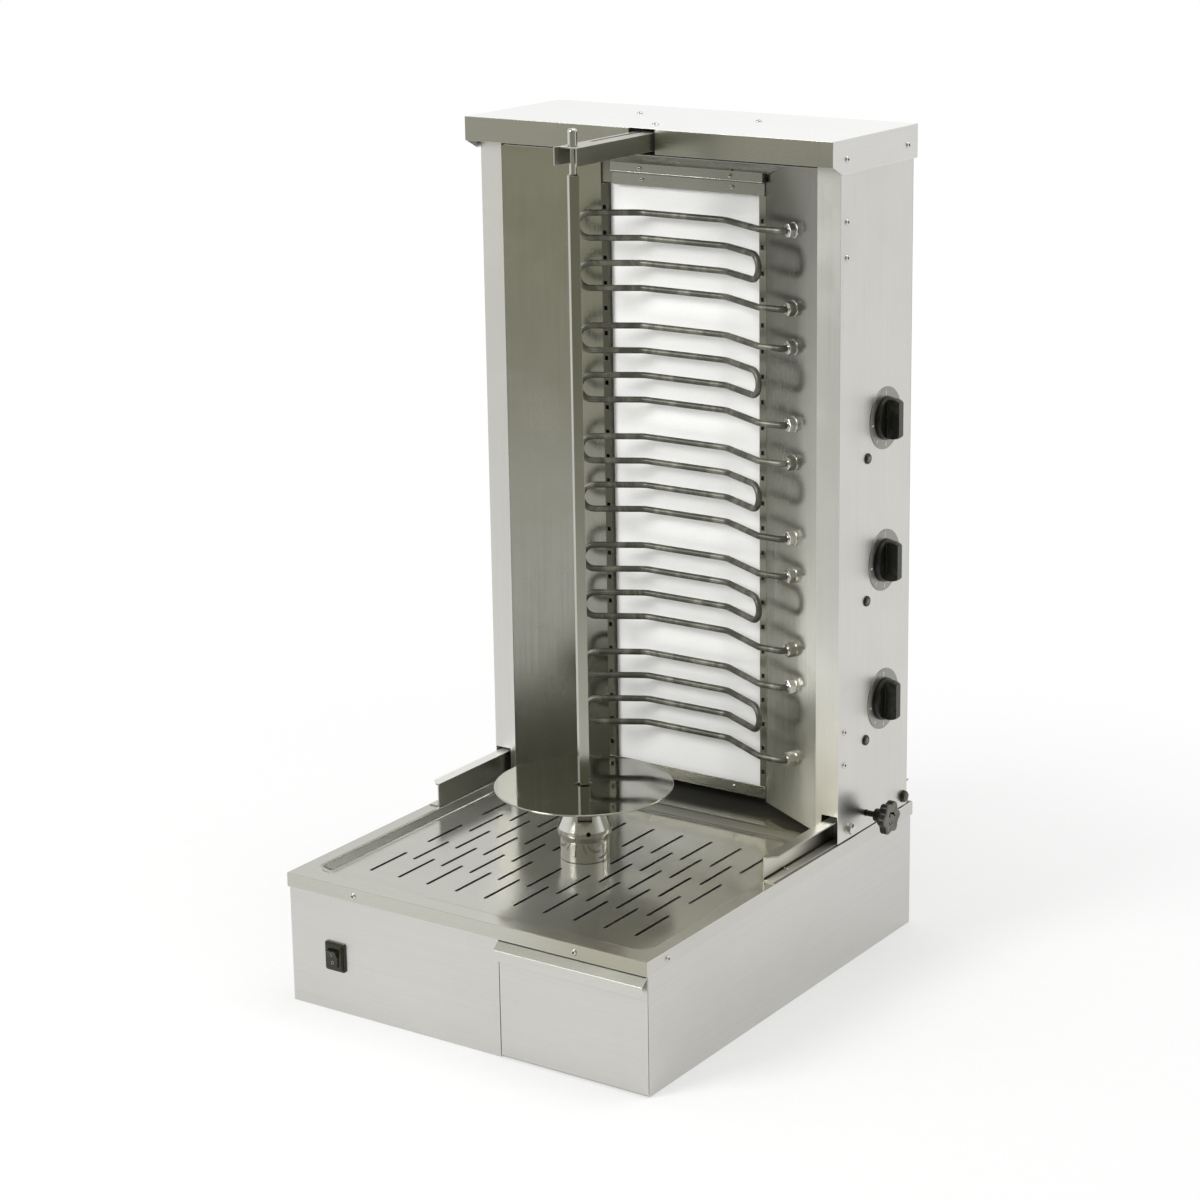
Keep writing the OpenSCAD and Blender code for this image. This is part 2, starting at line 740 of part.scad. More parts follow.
module hub() color("lightgray") translate([0, axis_y, 0]) difference() {
    rotate_extrude() polygon([
        [0, hub_foot],
        [hub_barrel_d / 2, hub_foot],
        [hub_barrel_d / 2, hub_foot + hub_barrel_h],
        [hub_d / 2, hub_foot + hub_band_h - hub_screw_d / 2],
        [hub_d / 2, hub_foot + hub_band_h + hub_screw_d / 2],
        [hub_top_d / 2, hub_top],
        [0, hub_top]]);
    translate([0, 0, hub_foot - cut]) cylinder(r = shaft_d / 2 + run_play, h = shaft_grip + cut);
    translate([0, 0, socket_floor])
        cylinder(r = tail_d / 2 + 2 * run_play, h = hub_top - socket_floor + cut);
    rotate([0, 0, hub_slot_turn])
        block([-hub_slot_w / 2, -hub_d, slot_floor], [hub_slot_w / 2, hub_d, hub_top + cut]);
    translate([0, 0, hub_screw_z]) rotate([0, 0, hub_screw_turn - 90]) rotate([0, 90, 0])
        cylinder(r = hub_screw_d / 2 + run_play, h = hub_d);
}

module hub_screw() color("black") translate([0, axis_y, hub_screw_z]) rotate([0, 0, hub_screw_turn - 90])
    rotate([0, 90, 0]) difference() {
        translate([0, 0, shaft_d / 2 + run_play]) cylinder(d = hub_screw_d, h = hub_d / 3 - shaft_d / 2);
        translate([0, 0, hub_d / 3 - hub_screw_d / 2])
            cylinder(d = hub_screw_d / 2, h = hub_screw_d, $fn = 6);
    }

// Spit with its drive key and tail
key_proud = 1.5;

module spit() color("silver") translate([0, axis_y, 0]) difference() {
    union() {
        rotate([0, 0, bar_turn]) block([-bar_w / 2, -bar_w / 2, hub_top + key_proud / 2],
            [bar_w / 2, bar_w / 2, bar_top_z]);
        rotate([0, 0, hub_slot_turn]) block([-hub_slot_w / 2 + key_play, -key_l / 2, slot_floor + key_play],
            [hub_slot_w / 2 - key_play, key_l / 2, hub_top + key_proud]);
        translate([0, 0, slot_floor - tail_l]) cylinder(d = tail_d, h = tail_l + 2 * key_play);
    }
    translate([0, 0, bar_top_z - pin_reach - spit_travel - key_play]) cylinder(r = pin_d / 2 + run_play,
        h = pin_reach + spit_travel + key_play + cut);
}

module disc_collar() color("dimgray") translate([0, axis_y, disc_z - disc_t - collar_h]) difference() {
    cylinder(d = collar_d, h = collar_h);
    rotate([0, 0, bar_turn]) block([-bar_w / 2 - run_play, -bar_w / 2 - run_play, -cut],
        [bar_w / 2 + run_play, bar_w / 2 + run_play, collar_h + cut]);
}

module meat_disc() color("gainsboro") translate([0, axis_y, disc_z - disc_t]) difference() {
    cylinder(d = disc_d, h = disc_t, $fn = 96);
    translate([0, 0, -cut]) cylinder(r = bar_w * sqrt(2) / 2 + 4 * run_play, h = disc_t + 2 * cut);
}

// Top pin and the arm that holds it

module top_pin() color("silver") translate([0, axis_y, 0]) rotate_extrude() polygon([
    [0, bar_top_z - pin_reach],
    [pin_d / 4, bar_top_z - pin_reach],
    [pin_d / 2, bar_top_z - pin_reach + pin_d / 4],
    [pin_d / 2, arm_top + run_play],
    [pin_head_d / 2, arm_top + run_play],
    [pin_head_d / 2, arm_top + pin_head_h - pin_head_d / 4],
    [pin_head_d / 4, arm_top + pin_head_h],
    [0, arm_top + pin_head_h]]);

arm_back = axis_y + arm_back_l;

module support_arm() color("gainsboro") difference() {
    union() {
        block([-arm_w / 2, axis_y - arm_web_tip, arm_under], [arm_w / 2, arm_back, arm_top]);
        block([-arm_w / 2, axis_y - arm_long_tip, arm_foot], [-arm_w / 2 + arm_t, arm_back, arm_top]);
        block([arm_w / 2 - arm_t, axis_y - arm_short_tip, arm_foot], [arm_w / 2, arm_back, arm_top]);
    }
    translate([0, axis_y, arm_under - cut]) cylinder(r = pin_d / 2 + run_play, h = arm_t + 2 * cut);
    block([-arm_slot_side - arm_slot_w / 2, axis_y + arm_slot_gap, arm_under - cut],
        [-arm_slot_side + arm_slot_w / 2, guide_y + guide_screw_d, arm_top + cut]);
}

arm_guide_t = 1.5;
arm_guide_half = arm_w / 2 + slide_gap;
arm_guide_flange = 14;

// Channel under the cap in which the arm slides
module arm_guide() color("darkgray") along_y(tower_front, tower_back - tower_t - back_flange_w / 2) folded([
    [-arm_guide_half - arm_guide_flange, tower_top], [-arm_guide_half, tower_top],
    [-arm_guide_half, arm_foot - slide_gap], [arm_guide_half, arm_foot - slide_gap],
    [arm_guide_half, tower_top], [arm_guide_half + arm_guide_flange, tower_top]], -arm_guide_t);

module arm_screw() color("silver") dome_screw([-arm_slot_side, guide_y, total_h], 0, 0,
    2 * guide_screw_d, total_h - arm_under + guide_screw_d, guide_screw_d);

// Tower

module rail_notch(hand) {
    block([hand > 0 ? rail_inner - notch_gap : -block_out, tower_front - cut, tower_foot - cut],
        [hand > 0 ? block_out : -rail_inner + notch_gap, tower_front + tower_t + cut, rail_top + notch_gap]);
}

// Notch at the foot of the tower's back, through which the rail passes
module rear_notch(hand) {
    low_x = hand > 0 ? rail_inner - notch_gap : -block_out;
    high_x = hand > 0 ? block_out : -rail_inner + notch_gap;
    block([low_x, tower_back - 2 * tower_t - cut, tower_foot - cut],
        [high_x, tower_back + cut, rail_top + notch_gap]);
}

module side_panel(hand) {
    pts = [[hand * open_half_w, tower_front],
        [hand * tower_half_w, tower_front],
        [hand * tower_half_w, tower_back - tower_t],
        [hand * (tower_half_w - back_flange_w), tower_back - tower_t]];
    difference() {
        standing(pts, hand * tower_t, tower_foot, tower_top);
        rail_notch(hand);
        rear_notch(hand);
        for (q = side_screw_shares)
            screw_hole([hand * tower_half_w, side_screw_y, total_h * q], hand > 0 ? 0 : 180, 90);
        for (s = rear_screw_shares) screw_hole([hand * rear_screw_x, tower_back, total_h * s], 90, 90);
        for (y = cap_screw_ys) screw_hole([hand * cap_half_w, y, cap_screw_z], hand > 0 ? 0 : 180, 90);
        for (y = [guide_front, guide_rear]) translate([hand * tower_half_w, tower_front + y, guide_z])
            rotate([0, 90, 0]) cylinder(r = bolt_d / 2 + run_play, h = 4 * tower_t, center = true);
    }
}

bolt_d = guide_bolt_w * 0.6;
side_screw_y = tower_front + front_flange_w / 2 - tower_t;
side_screw_shares = [0.905, 0.864, 0.298, 0.257];

module side_panel_left() color("whitesmoke") side_panel(-1);

module side_panel_right() color("lightgray") difference() {
    side_panel(1);
    for (i = [0:knob_count - 1]) {
        translate([side_face, knob_y, knob_low_z + i * knob_pitch]) rotate([0, 90, 0])
            cylinder(d = spindle_boss_d + 4 * run_play, h = 4 * tower_t, center = true);
        translate([side_face, lamp_y, knob_low_z + i * knob_pitch - lamp_drop]) rotate([0, 90, 0])
            cylinder(d = lamp_body_d + 2 * run_play, h = 4 * tower_t, center = true);
    }
    translate([side_face, tower_front + clamp_back, clamp_z]) rotate([0, 90, 0])
        cylinder(d = clamp_stem_d + 2 * clamp_play, h = 4 * tower_t, center = true);
}

rear_screw_x = tower_half_w - back_flange_w / 2;
rear_screw_xs = [-rear_screw_x, rear_screw_x];
rear_screw_shares = [0.2, 0.5, 0.95];

module rear_cover() color("lightgray") difference() {
    block([-tower_half_w, tower_back - tower_t, tower_foot], [tower_half_w, tower_back, tower_top]);
    for (x = [-1, 1], i = [0:7], z = [total_h * 0.28, total_h * 0.8])
        block([x * louvre_x - louvre_l / 2, tower_back - tower_t - cut, z + i * 3 * slot_w],
            [x * louvre_x + louvre_l / 2, tower_back + cut, z + i * 3 * slot_w + slot_w]);
    for (x = rear_screw_xs, s = rear_screw_shares) screw_hole([x, tower_back, total_h * s], 90, 90);
    rear_notch(1);
    rear_notch(-1);
}

louvre_x = tower_half_w * 0.4;
louvre_l = tower_half_w * 0.45;

cap_screw_ys = [tower_front + small_head_d, tower_back - back_flange_w * 1.5];
cap_screw_z = total_h - cap_front_h + small_head_d;
cap_top_screws = [[-tower_half_w / 3, tower_back - 2 * back_flange_w - cap_front_h * 1.5],
    [tower_half_w / 3, tower_back - 2 * back_flange_w - cap_front_h * 1.5]];

module tower_cap() color("white") difference() {
    block([-cap_half_w, cap_front, total_h - cap_side_h], [cap_half_w, cap_back, total_h]);
    block([-cap_half_w + tower_t, cap_front + tower_t, total_h - cap_side_h - cut],
        [cap_half_w - tower_t, cap_back - tower_t, total_h - tower_t]);
    // The front skirt is shorter than the sides, with slanted corners
    along_x(-cap_half_w - cut, cap_half_w + cut) polygon([[cap_front - cut, total_h - cap_side_h - cut],
        [tower_front, total_h - cap_side_h - cut], [tower_front - small_head_d / 2, total_h - cap_side_h],
        [cap_front + tower_t, total_h - cap_front_h], [cap_front - cut, total_h - cap_front_h]]);
    // Notch for the arm
    block([-arm_w / 2 - cap_notch_side, cap_front - cut, total_h - cap_front_h - cut],
        [arm_w / 2 + cap_notch_side, cap_front + cap_notch_d, total_h + cut]);
    translate([-arm_slot_side, guide_y, tower_top - cut])
        cylinder(r = guide_screw_d / 2 + run_play, h = tower_t + 2 * cut);
    for (p = cap_top_screws) screw_hole([p[0], p[1], total_h], 0, 0);
    for (y = cap_screw_ys) {
        screw_hole([cap_half_w, y, cap_screw_z], 0, 90);
        screw_hole([-cap_half_w, y, cap_screw_z], 180, 90);
    }
}

inner_half_w = tower_half_w - tower_t - run_play;

module tower_floor() color("darkgray") block(
    [-rail_inner + notch_gap, wall_back + 3 * panel_t, low_trim_foot],
    [rail_inner - notch_gap, tower_back - tower_t - run_play, low_trim_foot + tower_t]);

module tower_ceiling() color("darkgray") block(
    [-inner_half_w, wall_front + reflector_t + run_play, ceiling_z],
    [inner_half_w, tower_back - 2 * tower_t - run_play, ceiling_z + tower_t]);

// Slanted walls of the heated recess

module reflector(hand) {
    pts = [[hand * (tower_half_w - tower_t - notch_gap), wall_front], [hand * open_half_w, wall_front],
        [hand * wall_back_half, wall_back], [hand * (wall_back_half - strip_w), wall_back],
        [hand * (wall_back_half - strip_w), panel_front]];
    difference() {
        standing(pts, -hand * reflector_t, reflector_foot, ceiling_z - run_play);
        low_x = hand > 0 ? rail_inner - notch_gap : -tower_half_w;
        high_x = hand > 0 ? tower_half_w : -rail_inner + notch_gap;
        block([low_x, tower_front, reflector_foot - cut],
            [high_x, wall_front + notch_gap, rail_top + notch_gap]);
        // Above and below the back panel the strips stop, so the walls end at their back edges
        for (z = [[reflector_foot - cut, low_trim_foot], [top_trim_foot, ceiling_z + cut]])
            block([hand > 0 ? 0 : -wall_back_half + reflector_t, wall_back - run_play, z[0]],
                [hand > 0 ? wall_back_half - reflector_t : 0, panel_front + cut, z[1]]);
        for (z = [low_trim_top + vent_step / 2:vent_step:top_trim_foot - vent_step / 3])
            translate([hand * (wall_back_half - strip_w / 2), wall_back, z])
                block([-vent_w / 2, -cut, 0], [vent_w / 2, reflector_t + cut, vent_w * 1.2]);
    }
}

module at_leads() {
    for (i = [0:element_count - 1], e = [-1, 1])
        translate([lead_x, lead_y, element_top_z - i * element_pitch + e * 1.5 * run_step])
            rotate([0, 0, -wall_angle - 90]) rotate([0, 90, 0]) children();
}

gland_thread = gland_nut_w * 0.7;

module reflector_left() color("darkkhaki") reflector(-1);

module reflector_right() color("darkkhaki") difference() {
    reflector(1);
    at_leads() translate([0, 0, -4 * reflector_t])
        cylinder(r = gland_thread / 2 + run_play, h = 8 * reflector_t);
}

module back_panel() color("white") block(
    [-wall_back_half + strip_w / 3, panel_front + run_play, low_trim_foot + 2 * tower_t],
    [wall_back_half - strip_w / 3, panel_front + panel_t, top_trim_foot + 2 * tower_t]);

trim_half_w = wall_back_half - reflector_t - run_play;
trim_front = wall_back - reflector_t - run_play;

module bottom_trim() color("gray") difference() {
    along_x(-trim_half_w, trim_half_w) folded([
        [trim_front, low_trim_top],
        [trim_front, low_trim_foot - reflector_t],
        [wall_back + 3 * panel_t + 2 * vent_w, low_trim_foot - reflector_t]], reflector_t);
    for (p = trim_screw_places) screw_hole(p, -90, 90, 4 * reflector_t);
}

module top_trim() color("gray") difference() {
    along_x(-trim_half_w + top_trim_gap, trim_half_w) folded([
        [trim_front, top_trim_foot],
        [trim_front, top_trim_top],
        [trim_front - top_trim_step, top_trim_top],
        [trim_front - top_trim_step, top_trim_top + top_band_h],
        [trim_front - top_trim_step - top_slope_h, ceiling_z - reflector_t]], -reflector_t);
    for (p = trim_screw_places) screw_hole(p, -90, 90, 4 * reflector_t);
}

trim_screw_side = trim_half_w * 0.55;
trim_screw_rows = [[trim_front, low_trim_top - low_trim_h / 2],
    [trim_front, top_trim_foot + top_trim_h / 2],
    [trim_front - top_trim_step, top_trim_top + top_band_h / 2]];
trim_screw_places = [for (e = [-1, 1], q = trim_screw_rows)
    [element_shift + e * trim_screw_side, q[0], q[1]]];

module trim_screws() color("silver") for (p = trim_screw_places)
    dome_screw(p, -90, 90, small_head_d * 0.8, panel_gap * 0.8);

// Heating elements: one tube with four runs, three turns and two leads

wing = [cos(wall_angle), -sin(wall_angle)];
mid_right = [element_shift + element_mid_l / 2, element_y];
mid_left = [element_shift - element_mid_l / 2, element_y];
turn_l = element_wing_l - run_step / 2;
lead_in = [sin(wall_angle), cos(wall_angle)];
lead_at = [lead_x, lead_y];

function wing_right(l) = mid_right + [wing[0], wing[1]] * l;
function wing_left(l) = mid_left + [-wing[0], wing[1]] * l;

// Half turn of the tube in the upright plane of one wing
module half_turn(at, turn) {
    translate([at[0], at[1], 0]) rotate([0, 0, turn]) rotate([90, 0, 0]) rotate([0, 0, -90])
        rotate_extrude(angle = 180) translate([run_step / 2, 0]) circle(d = tube_d + bend_swell, $fn = 24);
}

module heating_element(i) {
    color("dimgray") translate([0, 0, element_top_z - i * element_pitch]) {
        for (e = [-1, 1]) {
            translate([0, 0, e * 1.5 * run_step]) plan_tube([wing_left(turn_l), mid_left, mid_right,
                wing_right(element_wing_l), lead_at - lead_in * lead_gap, lead_at + lead_in * tube_tail],
                [0, wide_bend_r, wide_bend_r, lead_bend_r, lead_bend_r, 0], tube_d);
            translate([0, 0, e * 0.5 * run_step]) plan_tube([wing_left(turn_l), mid_left, mid_right,
                wing_right(turn_l)], [0, wide_bend_r, wide_bend_r, 0], tube_d);
            translate([0, 0, e * run_step]) half_turn(wing_left(turn_l), 180 + wall_angle);
        }
        half_turn(wing_right(turn_l), -wall_angle);
    }
}

module heating_element_1() heating_element(0);
module heating_element_2() heating_element(1);
module heating_element_3() heating_element(2);
module heating_element_4() heating_element(3);
module heating_element_5() heating_element(4);

module element_glands() color("silver") at_leads() difference() {
    union() {
        cylinder(d = gland_nut_w * 1.25, h = reflector_t);
        translate([0, 0, reflector_t]) cylinder(d = gland_nut_w / cos(30), h = gland_nut_l, $fn = 6);
        translate([0, 0, reflector_t + gland_nut_l]) cylinder(d = gland_thread, h = reflector_t);
        translate([0, 0, -3 * reflector_t]) cylinder(d = gland_thread, h = 3 * reflector_t);
        translate([0, 0, -3 * reflector_t - gland_nut_l / 2]) cylinder(d = gland_nut_w / cos(30),
            h = gland_nut_l / 2, $fn = 6);
    }
    translate([0, 0, -gland_nut_l]) cylinder(r = tube_d / 2 + run_play, h = 3 * gland_nut_l);
}

// Controls on the tower's right side

knob_foot = side_face + dial_t + slide_gap;
spindle_boss_d = 11;
spindle_d = 6;
regulator_w = 44;
regulator_l = 32;
lamp_body_d = lamp_d * 0.8;
lamp_len = 24;

module dial_plates() color("silver") for (i = [0:knob_count - 1])
    translate([side_face, knob_y, knob_low_z + i * knob_pitch]) rotate([0, 90, 0]) difference() {
        cylinder(d = dial_d, h = dial_t);
        translate([0, 0, -cut]) cylinder(d = spindle_boss_d + 4 * run_play, h = dial_t + 2 * cut);
    }

module control_knob(i) {
    color("black") translate([knob_foot, knob_y, knob_low_z + i * knob_pitch]) rotate([0, 90, 0]) {
        difference() {
            union() {
                rotate_extrude() polygon([[0, 0], [knob_d / 2, 0], [knob_d / 2, knob_skirt_h * 0.6],
                    [knob_d / 2 - knob_skirt_h * 0.4, knob_skirt_h], [0, knob_skirt_h]]);
                intersection() {
                    translate([0, 0, knob_skirt_h / 2])
                        cylinder(d = knob_d - knob_skirt_h * 0.8, h = grip_h + knob_skirt_h);
                    along_x(-knob_d / 2, knob_d / 2) polygon([
                        [-grip_w / 2, knob_skirt_h / 2],
                        [grip_w / 2, knob_skirt_h / 2],
                        [grip_w * 0.36, knob_skirt_h + grip_h],
                        [-grip_w * 0.36, knob_skirt_h + grip_h]]);
                }
            }
            translate([0, 0, -cut]) cylinder(r = spindle_d / 2 + run_play, h = knob_skirt_h + cut);
        }
    }
}

module control_knob_1() control_knob(0);
module control_knob_2() control_knob(1);
module control_knob_3() control_knob(2);

// A regulator with its fixed boss and spindle
module heat_regulator(i) {
    at = [side_face - tower_t, knob_y, knob_low_z + i * knob_pitch];
    color("ivory") translate(at) rotate([0, -90, 0]) {
        block([-regulator_w / 2, -regulator_w / 2, run_play],
            [regulator_w / 2, regulator_w / 2, regulator_l]);
        translate([0, 0, -tower_t - dial_t])
            cylinder(d = spindle_boss_d, h = tower_t + dial_t + 2 * run_play);
        translate([0, 0, -tower_t - dial_t - knob_skirt_h * 0.8])
            cylinder(d = spindle_d, h = knob_skirt_h + tower_t + dial_t);
    }
}

module heat_regulator_1() heat_regulator(0);
module heat_regulator_2() heat_regulator(1);
module heat_regulator_3() heat_regulator(2);

module pilot_lamps() color("maroon") for (i = [0:knob_count - 1])
    translate([side_face, lamp_y, knob_low_z + i * knob_pitch - lamp_drop]) rotate([0, 90, 0]) {
        rotate_extrude() polygon([
            [0, 0],
            [lamp_d / 2, 0],
            [lamp_d / 2, lamp_d / 8],
            [lamp_d / 3, lamp_d / 4],
            [0, lamp_d / 4]]);
        translate([0, 0, -lamp_len]) cylinder(d = lamp_body_d, h = lamp_len);
    }

// Switch in the base's front

switch_body_w = switch_w * 0.72;
switch_body_h = switch_h * 0.8;
switch_body_l = 34;
switch_rim = 3.5;
switch_out = 6;
rocker_out = 5;
switch_face = body_front - switch_out;
rocker_gap = 0.4;
rocker_pin_d = 3;
well_half_w = switch_body_w / 2 - switch_rim;
well_half_h = switch_body_h / 2 - switch_rim;

module switch_housing() color("black") difference() {
    union() {
        block([switch_x - switch_w / 2, switch_face, switch_z - switch_h / 2],
            [switch_x + switch_w / 2, body_front, switch_z + switch_h / 2]);
        block([switch_x - switch_body_w / 2, body_front, switch_z - switch_body_h / 2],
            [switch_x + switch_body_w / 2, body_front + switch_body_l, switch_z + switch_body_h / 2]);
    }
    block([switch_x - well_half_w, switch_face - cut, switch_z - well_half_h],
        [switch_x + well_half_w, switch_face + 2 * switch_out, switch_z + well_half_h]);
}

rocker_half_h = well_half_h - rocker_gap - switch_out * (1 - cos(rocker_tilt));

// The rocker is stored switched off, tilted so that its upper half stands out
module switch_rocker() color("black") translate([0, switch_face, switch_z]) rotate([rocker_tilt, 0, 0]) {
    along_x(switch_x - well_half_w + run_play, switch_x + well_half_w - run_play) circle(d = rocker_pin_d);
    along_x(switch_x - well_half_w + rocker_gap, switch_x + well_half_w - rocker_gap) polygon([
        [-rocker_out, -rocker_half_h],
        [-rocker_out / 3, 0],
        [-rocker_out, rocker_half_h],
        [switch_out, rocker_half_h * 0.8],
        [switch_out * 1.5, 0],
        [switch_out, -rocker_half_h * 0.8]]);
}

// Rails, slide blocks and clamp

module rail(hand) {
    difference() {
        along_y(rail_front, rail_back) folded([[hand * rail_outer, base_h], [hand * rail_inner, base_h],
            [hand * rail_inner, rail_top], [hand * rail_outer, rail_top]], -hand * rail_t);
        translate([hand * rail_outer, rail_front, rail_top]) linear_extrude(4 * rail_t, center = true)
            polygon([[hand * cut, -cut], [-hand * rail_corner, -cut], [hand * cut, rail_corner + cut]]);
        for (y = rail_screw_ys) translate([hand * rail_screw_x, y, base_h - cut])
            cylinder(r = small_shank_d / 2 + run_play, h = rail_t + 2 * cut);
    }
}

rail_screw_x = rail_inner + rail_t + small_head_d / 2 + 2 * rail_play;
rail_screw_ys = [rail_front + rail_screw_in, rail_back - small_head_d / 2 - rail_play];

module rail_left() color("gainsboro") rail(-1);
module rail_right() color("gainsboro") rail(1);

module rail_screws() color("silver") for (hand = [-1, 1], y = rail_screw_ys)
    dome_screw([hand * rail_screw_x, y, base_h + rail_t], 0, 0, small_head_d, rail_t);

block_front = tower_front + guide_front - guide_bolt_w;
block_back = tower_front + guide_rear + guide_bolt_w / 2;

module slide_block(hand) {
    difference() {
        block([hand > 0 ? block_in : -block_out, block_front, block_foot],
            [hand > 0 ? block_out : -block_in, block_back, block_top]);
        for (y = [guide_front, guide_rear]) translate([hand * block_out, tower_front + y, guide_z])
            rotate([0, 90, 0]) cylinder(r = bolt_d / 2 + run_play, h = 2 * bolt_l, center = true);
        if (hand > 0) translate([0, tower_front + clamp_back, clamp_z]) rotate([0, 90, 0])
            cylinder(r = clamp_stem_d / 2 + run_play, h = tower_half_w);
    }
}

bolt_l = (block_out - block_in) * 0.7;

module slide_block_left() color("dimgray") slide_block(-1);
module slide_block_right() color("dimgray") slide_block(1);

module guide_bolts() color("silver") for (hand = [-1, 1], y = [guide_front, guide_rear])
    translate([hand * tower_half_w, tower_front + y, guide_z]) rotate([0, hand * 90, 0]) {
        cylinder(d = guide_bolt_w / cos(30), h = guide_bolt_w * 0.45, $fn = 6);
        translate([0, 0, -bolt_l - tower_t]) cylinder(d = bolt_d, h = bolt_l + tower_t);
    }

module clamp_knob() color("black") translate([0, tower_front + clamp_back, clamp_z]) rotate([0, 90, 0]) {
    translate([0, 0, block_in]) cylinder(d = clamp_stem_d, h = side_face + clamp_out - clamp_h - block_in);
    translate([0, 0, side_face + clamp_out - clamp_h * 1.6]) cylinder(d = clamp_d * 0.4, h = clamp_h);
    translate([0, 0, side_face + clamp_out - clamp_h]) linear_extrude(clamp_h) {
        circle(d = clamp_d * 0.8);
        for (i = [0:clamp_lobes - 1]) rotate(i * 360 / clamp_lobes)
            translate([clamp_d * 0.37, 0]) circle(d = clamp_d * 0.26);
    }
}

// Screws of the tower

module tower_screws() color("silver") {
    for (q = side_screw_shares, hand = [-1, 1])
        dome_screw([hand * tower_half_w, side_screw_y, total_h * q], hand > 0 ? 0 : 180, 90);
    for (x = rear_screw_xs, s = rear_screw_shares) dome_screw([x, tower_back, total_h * s], 90, 90);
    for (p = cap_top_screws) dome_screw([p[0], p[1], total_h], 0, 0);
    for (y = cap_screw_ys) {
        dome_screw([cap_half_w, y, cap_screw_z], 0, 90);
        dome_screw([-cap_half_w, y, cap_screw_z], 180, 90);
    }
}

// Power inlet at the base's back

gland_thread_d = gland_w * 0.8;
gland_x = -base_w * 0.3;
gland_z = base_h * 0.4;
gland_nut_t = 5;
gland_cap_l = 14;
terminal_l = 58;
terminal_w = 22;
terminal_h = 20;
terminal_ways = 6;

gland_l = sheet_t + 2 * gland_nut_t + gland_cap_l;

module cable_gland() color("black") translate([gland_x, body_back, gland_z]) rotate([-90, 0, 0])
difference() {
    union() {
        cylinder(d = gland_w / cos(30), h = gland_nut_t, $fn = 6);
        translate([0, 0, gland_nut_t]) cylinder(d1 = gland_w, d2 = gland_w * 0.7, h = gland_cap_l);
        translate([0, 0, -sheet_t]) cylinder(d = gland_thread_d, h = sheet_t);
        translate([0, 0, -sheet_t - gland_nut_t]) cylinder(d = gland_w / cos(30), h = gland_nut_t, $fn = 6);
    }
    translate([0, 0, -sheet_t - gland_nut_t - cut]) cylinder(d = gland_bore_d, h = gland_l + 2 * cut);
}

module terminal_block() color("ivory")
translate([gland_x - terminal_l / 2, body_back - 4 * terminal_w, sheet_t]) difference() {
    block([0, 0, 0], [terminal_l, terminal_w, terminal_h]);
    for (i = [0:terminal_ways - 1]) translate([(i + 0.5) * terminal_l / terminal_ways, 0, terminal_h]) {
        translate([0, terminal_w / 2, -terminal_h / 2]) cylinder(d = terminal_w / 5, h = terminal_h);
        translate([0, -cut, -terminal_h / 2]) rotate([-90, 0, 0])
            cylinder(d = terminal_w / 6, h = terminal_w + 2 * cut);
    }
}

base_shell();
base_plate();
deck_cover();
cover_screws();
drip_drawer();
runner_left();
runner_right();
gear_motor();
motor_bracket();
shaft_bush();
drive_shaft();
hub();
hub_screw();
spit();
disc_collar();
meat_disc();
top_pin();
support_arm();
arm_guide();
arm_screw();
side_panel_left();
side_panel_right();
rear_cover();
tower_cap();
tower_floor();
tower_ceiling();
reflector_left();
reflector_right();
back_panel();
top_trim();
bottom_trim();
heating_element_1();
heating_element_2();
heating_element_3();
heating_element_4();
heating_element_5();
element_glands();
control_knob_1();
control_knob_2();
control_knob_3();
dial_plates();
heat_regulator_1();
heat_regulator_2();
heat_regulator_3();
pilot_lamps();
switch_housing();
switch_rocker();
rail_left();
rail_right();
rail_screws();
slide_block_left();
slide_block_right();
guide_bolts();
clamp_knob();
tower_screws();
trim_screws();
terminal_block();
cable_gland();
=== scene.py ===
"""Looks of the electric skewer grill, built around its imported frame."""

import json
import math

import bmesh
import bpy
from mathutils import Matrix, Vector


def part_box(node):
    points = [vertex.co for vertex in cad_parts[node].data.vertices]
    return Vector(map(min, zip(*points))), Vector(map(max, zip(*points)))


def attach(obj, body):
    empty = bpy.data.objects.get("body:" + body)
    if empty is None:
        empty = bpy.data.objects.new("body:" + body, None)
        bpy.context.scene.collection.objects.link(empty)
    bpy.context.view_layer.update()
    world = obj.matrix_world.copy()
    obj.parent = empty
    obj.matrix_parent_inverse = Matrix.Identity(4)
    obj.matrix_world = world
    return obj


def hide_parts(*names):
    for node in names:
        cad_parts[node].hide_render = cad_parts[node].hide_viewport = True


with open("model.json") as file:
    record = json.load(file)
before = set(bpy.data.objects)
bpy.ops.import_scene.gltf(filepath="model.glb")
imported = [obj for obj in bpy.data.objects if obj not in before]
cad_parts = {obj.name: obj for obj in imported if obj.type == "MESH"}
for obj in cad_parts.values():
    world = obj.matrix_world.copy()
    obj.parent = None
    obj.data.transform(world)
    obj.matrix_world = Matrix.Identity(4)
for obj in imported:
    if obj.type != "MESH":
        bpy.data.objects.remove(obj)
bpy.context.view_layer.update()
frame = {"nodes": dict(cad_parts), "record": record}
MM = 0.001

# The photograph's view
CAMERA_AT = Vector((2.08332, -3.02548, 1.56259))
CAMERA_YAW = 0.583486
CAMERA_PITCH = 0.254631
CAMERA_ROLL = -0.010526
FOCUS_PIXELS = 2948.72
IMAGE_PIXELS = 1200
AIM_PIXEL = (660, 520)


